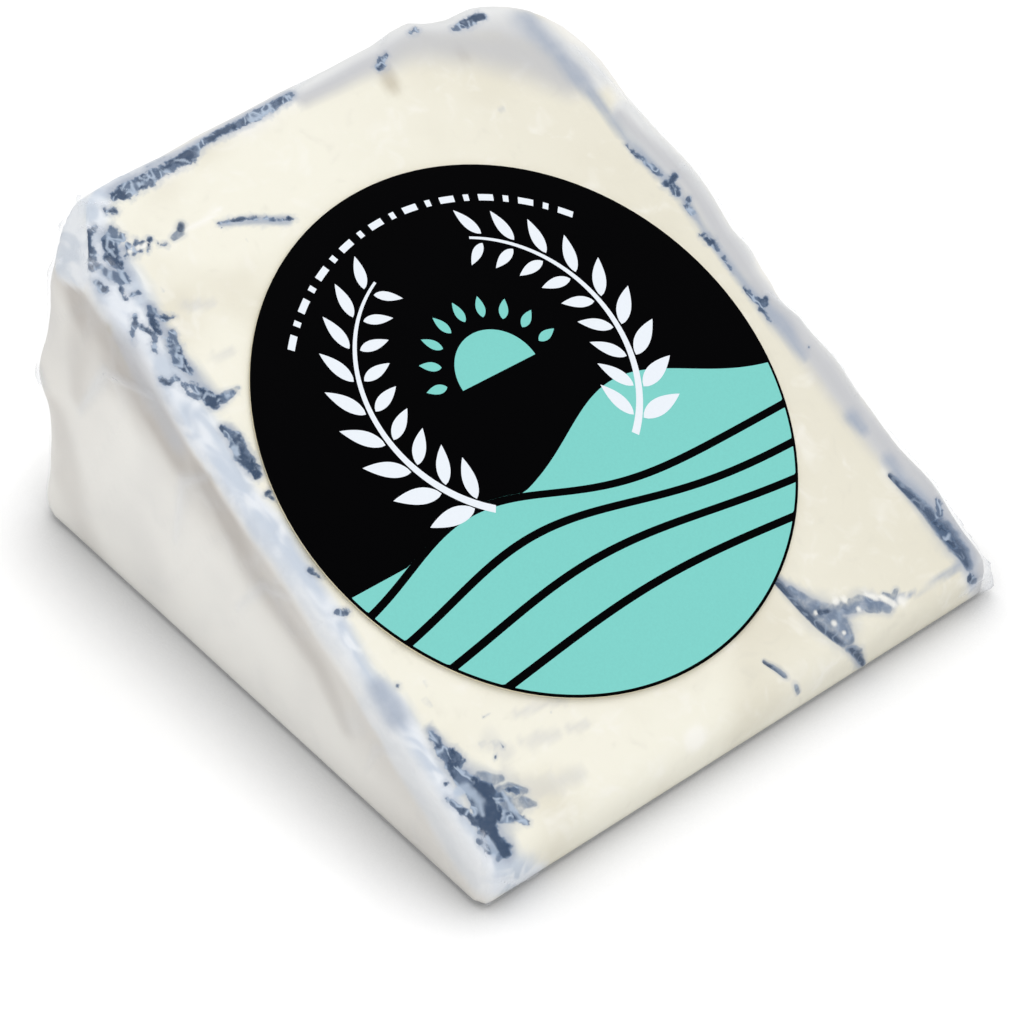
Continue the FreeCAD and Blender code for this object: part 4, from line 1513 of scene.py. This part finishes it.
@dataclass
class Label:
    """The round label, whose printed fields are thin pieces just above the paper.

    Attributes:
        ramp: Frame of the upper cut face.
        ink: Thickness of a printed field.
        edge_mm: Bare paper left at the rim of the label.
        hills: Crest lines of the land, from back to front.
        furrow_mm: Width of the dark line between two hills.
        centre_mm: Middle of the sun and the wreath, from the middle of the label.
        sun_mm: Radius of the sun.
        rays: Number of its rays.
        ray_mm: Gap, length and half width of a ray.
        wreath_mm: Radius of the wreath.
        branch: Angles at the foot and the tip of a branch, in degrees.
        pairs: Number of pairs of leaves on a branch.
        leaves: Lean, in radians, and length, in millimetres, of the leaves of a pair.
        border_in_mm: How far the border lies inside the rim.
        dashes: Number of dashes and dots in the border.
        dash: Half the span of a dash and of a dot, in degrees.
    """

    ramp: Ramp
    ink: float = 0.02 * MM
    edge_mm: float = 0.35
    hills: tuple[Hill, ...] = (
        Hill(-7.5, 7.5, 12.0, 13.0),
        Hill(-12.0, 6.0, -13.0, 14.0),
        Hill(-16.4, 5.0, -8.0, 18.0),
        Hill(-20.8, 4.0, -3.0, 22.0),
        Hill(-25.4, 3.2, 2.0, 26.0),
    )
    furrow_mm: float = 0.9
    centre_mm: Place = (0.0, 6.5)
    sun_mm: float = 5.2
    rays: int = 9
    ray_mm: Point = (1.5, 2.6, 0.55)
    wreath_mm: float = 16.5
    branch: Place = (-52.0, 66.0)
    pairs: int = 9
    leaves: tuple[Place, ...] = ((-0.66, 6.0), (1.0, 5.0))
    border_in_mm: float = 4.2
    dashes: int = 19
    dash: Place = (1.9, 0.7)

    def __post_init__(self) -> None:
        """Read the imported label's middle, radius and upper face."""
        low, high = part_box("label")
        self.centre = (low + high) / 2
        self.radius_mm = (high.x - low.x) / 2 / MM
        self.top_mm = float(self.ramp.measure(points_of(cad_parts["label"]))[:, 2].max())

    def build(self, groups: Groups) -> None:
        """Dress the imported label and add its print.

        Args:
            groups: Shared node groups.
        """
        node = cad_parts["label"]
        paper = InkFinish("label_paper", colour(1, 1, 2), 0.3, 0.02, colour(222, 212, 184))
        out = self.ramp.out
        node.material_slots[0].material = paper.build(groups, out)
        mint = InkFinish("mint_ink", colour(126, 210, 202), 0.10, 0.2).build(groups, out)
        white = InkFinish("white_ink", colour(236, 242, 249), 0.05, 0.2).build(groups, out)
        self.print_field("print_hills", self.hill_strips(), mint, 1)
        self.print_field("print_sun", self.sun(), mint, 1)
        self.print_field("print_wreath", self.wreath(), white, 3)
        self.print_field("print_border", self.border(), white, 1)

    def print_field(self, name: str, shapes: list[Piece], ink: bpy.types.Material,
                    layer: int) -> Piece:
        """Join flat shapes into one printed field and lay it on the label.

        Args:
            name: Name of the piece.
            shapes: Flat shapes about the label's centre, in its own plane.
            ink: Material of the field.
            layer: How many half layers of ink its underside lies above the paper.

        Returns:
            The printed field.
        """
        bpy.ops.object.select_all(action="DESELECT")
        for shape in shapes:
            shape.select_set(True)
        piece = shapes[0]
        bpy.context.view_layer.objects.active = piece
        if len(shapes) > 1:
            bpy.ops.object.join()
        piece.name = name
        apply_modifier(piece, "SOLIDIFY", thickness=self.ink, offset=1.0)
        turn = Matrix((Vector((1.0, 0.0, 0.0)), self.ramp.up, self.ramp.out)).transposed().to_4x4()
        level = self.top_mm * MM + self.ink * layer * 0.5
        spot = self.ramp.measure(np.array([self.centre]))[0]
        place = self.ramp.place(spot[0], spot[1]) + self.ramp.out * level
        piece.data.transform(Matrix.Translation(place) @ turn)
        piece.data.materials.clear()
        piece.data.materials.append(ink)
        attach(piece, BODY)
        LOG.info("%s: %d faces", name, len(piece.data.polygons))
        return piece

    def patch(self, columns: int, rows: int, place: Spread) -> Piece:
        """Add a flat grid and shape it.

        Args:
            columns: Number of faces along it.
            rows: Number of faces across it.
            place: Gives x and y in millimetres from two shares that run from 0 to 1.

        Returns:
            The shaped grid.
        """
        bpy.ops.object.select_all(action="DESELECT")
        bpy.ops.mesh.primitive_grid_add(x_subdivisions=columns, y_subdivisions=rows, size=1.0)
        piece = bpy.context.object
        points = points_of(piece)
        x, y = place(points[:, 0] + 0.5, points[:, 1] + 0.5)
        put_points(piece, np.column_stack([x, y, np.zeros(len(x))]) * MM)
        if sum(face.normal.z for face in piece.data.polygons) < 0.0:
            edit_all(piece, bpy.ops.mesh.flip_normals)
        return piece

    def hill_strips(self) -> list[Piece]:
        """The land below the sun, in strips with dark furrows between them.

        Returns:
            One flat strip for each hill.
        """
        reach = self.radius_mm - self.edge_mm
        across = np.linspace(-reach, reach, 2001)
        strips = []
        for hill, under in zip(self.hills, self.hills[1:] + (None,)):
            inside = across[hill.height(across) > 0.02 - np.sqrt(reach ** 2 - across ** 2)]
            middle = (inside[-1] + inside[0]) / 2
            half = (inside[-1] - inside[0]) / 2

            def place(along: Array, up: Array) -> tuple[Array, Array]:
                """Spread the grid between this crest line and the next one.

                Args:
                    along: Shares of the way from left to right.
                    up: Shares of the way from the foot to the crest.

                Returns:
                    x and y, in millimetres.
                """
                x = middle + half * np.sin((along - 0.5) * math.pi)
                bowl = -np.sqrt(np.maximum(reach ** 2 - x ** 2, 0.0))
                foot = bowl if under is None else np.maximum(under.height(x) + self.furrow_mm, bowl)
                top = np.maximum(np.minimum(hill.height(x), -bowl), foot)
                return x, foot + (top - foot) * up

            strips.append(self.patch(120, 4, place))
        return strips

    def sun(self) -> list[Piece]:
        """A half sun with rays, above the land.

        Returns:
            The flat half disc and its rays.
        """
        centre = self.centre_mm
        radius = self.sun_mm
        gap, length, half_width = self.ray_mm

        def disc(along: Array, out: Array) -> tuple[Array, Array]:
            """Spread the grid over half a disc."""
            x = radius * np.cos(math.pi * (1.0 - along))
            return centre[0] + x, centre[1] + out * np.sqrt(np.maximum(radius ** 2 - x ** 2, 0.0))

        shapes = [self.patch(48, 3, disc)]
        for number in range(self.rays):
            angle = math.pi * (number + 0.5) / self.rays
            foot = (centre[0] + (radius + gap) * math.cos(angle),
                    centre[1] + (radius + gap) * math.sin(angle))
            shapes.append(self.leaf(foot, angle, length, half_width))
        return shapes

    def leaf(self, foot: Place, angle: float, length: float, half_width: float,
             curl: float = 0.0) -> Piece:
        """A pointed leaf.

        Args:
            foot: Where it starts, in millimetres.
            angle: Which way it points, in radians.
            length: Its length, in millimetres.
            half_width: Half its width, in millimetres.
            curl: How far its line bends to the left, as a share of its length.

        Returns:
            The flat leaf.
        """
        def place(along: Array, across: Array) -> tuple[Array, Array]:
            """Spread the grid over the leaf.

            Args:
                along: Shares of the way from the foot to the point.
                across: Shares of the way across.

            Returns:
                x and y, in millimetres.
            """
            width = half_width * np.sin(math.pi * along ** 0.8) ** 0.9
            forward = length * along
            aside = (across * 2.0 - 1.0) * width + curl * length * along ** 2
            return (foot[0] + forward * math.cos(angle) - aside * math.sin(angle),
                    foot[1] + forward * math.sin(angle) + aside * math.cos(angle))

        return self.patch(14, 4, place)

    def wreath(self) -> list[Piece]:
        """Two leafy branches that rise on either side of the sun.

        Returns:
            The flat stems and leaves.
        """
        centre_x, centre_y = self.centre_mm
        radius = self.wreath_mm
        start, end = map(math.radians, self.branch)
        shapes = []
        for side in (-1, 1):
            def stem(along: Array, across: Array) -> tuple[Array, Array]:
                """Spread the grid along the branch, thinner towards its tip.

                Args:
                    along: Shares of the way from the foot to the tip.
                    across: Shares of the way across.

                Returns:
                    x and y, in millimetres.
                """
                angle = start + (end - start) * along
                out = radius + (across - 0.5) * (0.9 - 0.6 * along)
                return centre_x + side * out * np.cos(angle), centre_y + out * np.sin(angle)

            shapes.append(self.patch(60, 2, stem))
            for number in range(self.pairs):
                share = (number + 0.6) / self.pairs
                angle = start + (end - start) * share
                for lean, length in self.leaves:
                    size = length * (1.0 - 0.35 * share)
                    out = radius - math.copysign(0.6, lean)
                    foot = (centre_x + side * out * math.cos(angle),
                            centre_y + out * math.sin(angle))
                    way = angle + math.pi / 2 + lean
                    way = way if side > 0 else math.pi - way
                    shapes.append(self.leaf(foot, way, size, size * 0.17,
                                            0.06 * math.copysign(1, lean) * side))
        return shapes

    def border(self) -> list[Piece]:
        """Dots and dashes in an arc along the label's upper edge.

        Returns:
            The flat dots and dashes.
        """
        shapes = []
        radius = self.radius_mm - self.border_in_mm
        for number in range(self.dashes):
            angle = math.radians(45 + 90 * number / (self.dashes - 1))
            span = math.radians(self.dash[number % 2])

            def place(along: Array, across: Array) -> tuple[Array, Array]:
                """Spread the grid along a short arc.

                Args:
                    along: Shares of the way along it.
                    across: Shares of the way across.

                Returns:
                    x and y, in millimetres.
                """
                turn = angle + (0.5 - along) * 2 * span
                out = radius + (across - 0.5) * 0.8
                return out * np.cos(turn), out * np.sin(turn)

            shapes.append(self.patch(6, 2, place))
        return shapes


# ---------------------------------------------------------------- the studio


@dataclass
class Studio:
    """Floor, lights, background and camera.

    Attributes:
        azimuth: Direction that the camera looks from, in degrees; 0 looks along +Y.
        elevation: Height of the camera above the horizon, in degrees.
        roll: Turn of the camera about its own axis, in degrees.
        target_mm: Point in the middle of the view.
        distance: From the camera to that point.
        lens_mm: Focal length on a 36 mm sensor.
        fill: Level of the even light from all round.
        glow: How much the floor adds where it is seen, so that it looks white.
        shadow_reach: How far the painted contact shadow, darkened into the floor's colour by
            occlusion, spreads from the object.
        lamps: Name, place, length of side and watts of each soft square light.
    """

    azimuth: float = -45.29
    elevation: float = 41.91
    roll: float = 5.44
    target_mm: Point = (-7.58, -7.59, 15.0)
    distance: float = 0.32563
    lens_mm: float = 105.7
    fill: float = 0.78
    glow: float = 0.20
    shadow_reach: float = 10.5 * MM
    lamps: tuple[tuple[str, Point, float, float], ...] = (
        ("key", (0.35, 0.30, 1.0), 0.8, 3.0),
        ("front", (-0.50, -0.75, 0.45), 0.9, 1.6))

    def build(self) -> None:
        """Set the stage and the view."""
        self.add_floor()
        for lamp in self.lamps:
            self.add_light(*lamp)
        self.light_world()
        self.add_camera()
        bpy.context.scene.view_settings.view_transform = "Standard"
        LOG.info("studio: floor, lights and camera are set")

    def add_floor(self) -> None:
        """A wide white floor that keeps the shadow, with a painted contact shadow that darkens its
        colour near the object, and looks white elsewhere.
        """
        bpy.ops.object.select_all(action="DESELECT")
        bpy.ops.mesh.primitive_plane_add(size=6.0)
        floor = bpy.context.object
        floor.name = "floor"
        material, tree, shader = new_material(
            "floor", Roughness=0.9, Specular_IOR_Level=0.1, Emission_Color=WHITE)
        # painted contact shadow: occlusion darkens the floor's colour near the object
        contact_shadow = tree.add("AmbientOcclusion", {
            "Color": colour(243, 243, 243), "Distance": self.shadow_reach}, samples=4)
        tree.link(contact_shadow.outputs["Color"], shader["Base Color"])
        path = tree.add("LightPath").outputs
        seen = tree.math("MAXIMUM", path["Is Camera Ray"], path["Is Transmission Ray"])
        tree.link(tree.times(seen, self.glow), shader["Emission Strength"])
        floor.data.materials.append(material)

    def add_light(self, name: str, place: Point, size: float, power: float) -> None:
        """Add a soft square light that points at the object.

        Args:
            name: Name of the light.
            place: Where it stands.
            size: Length of its side.
            power: Its power, in watts.
        """
        bpy.ops.object.select_all(action="DESELECT")
        bpy.ops.object.light_add(type="AREA", location=place)
        light = bpy.context.object
        light.name = name
        light.data.size = size
        light.data.energy = power
        light.rotation_euler = (-Vector(place)).to_track_quat("-Z", "Y").to_euler()

    def light_world(self) -> None:
        """An even grey fill, seen as white behind the floor."""
        world = bpy.context.scene.world or bpy.data.worlds.new("world")
        bpy.context.scene.world = world
        world.use_nodes = True
        tree = Tree(world.node_tree)
        path = tree.add("LightPath").outputs
        strength = tree.blend(path["Is Camera Ray"], (self.fill,) * 3 + (1.0,), WHITE)
        background = tree.tree.nodes["Background"]
        background.inputs["Strength"].default_value = 1.0
        tree.link(strength, background.inputs["Color"])

    def add_camera(self) -> None:
        """Place the camera on its line of sight, with its roll."""
        side, height = math.radians(self.azimuth), math.radians(self.elevation)
        back = Vector((math.sin(side) * math.cos(height), -math.cos(side) * math.cos(height),
                       math.sin(height)))
        right = (-back).cross(Vector((0.0, 0.0, 1.0))).normalized()
        up = right.cross(-back)
        roll = math.radians(self.roll)
        across = right * math.cos(roll) + up * math.sin(roll)
        upright = up * math.cos(roll) - right * math.sin(roll)
        place = Vector(self.target_mm) * MM + back * self.distance
        bpy.ops.object.select_all(action="DESELECT")
        bpy.ops.object.camera_add()
        camera = bpy.context.object
        turn = Matrix((across, upright, back)).transposed().to_4x4()
        camera.matrix_world = Matrix.Translation(place) @ turn
        camera.data.lens = self.lens_mm
        camera.data.clip_start = 0.01
        bpy.context.scene.camera = camera


def main() -> None:
    """Build the cheese, the film, the label's print and the studio."""
    logging.basicConfig(level=logging.INFO, format="%(name)s: %(message)s")
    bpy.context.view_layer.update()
    ramp = Ramp.under_label()
    groups = Groups()
    Cheese(ramp).build(CheeseFinish().build(groups))
    Film(ramp).build(FilmFinish().build())
    Label(ramp).build(groups)
    Studio().build()


if __name__ == "__main__":
    main()
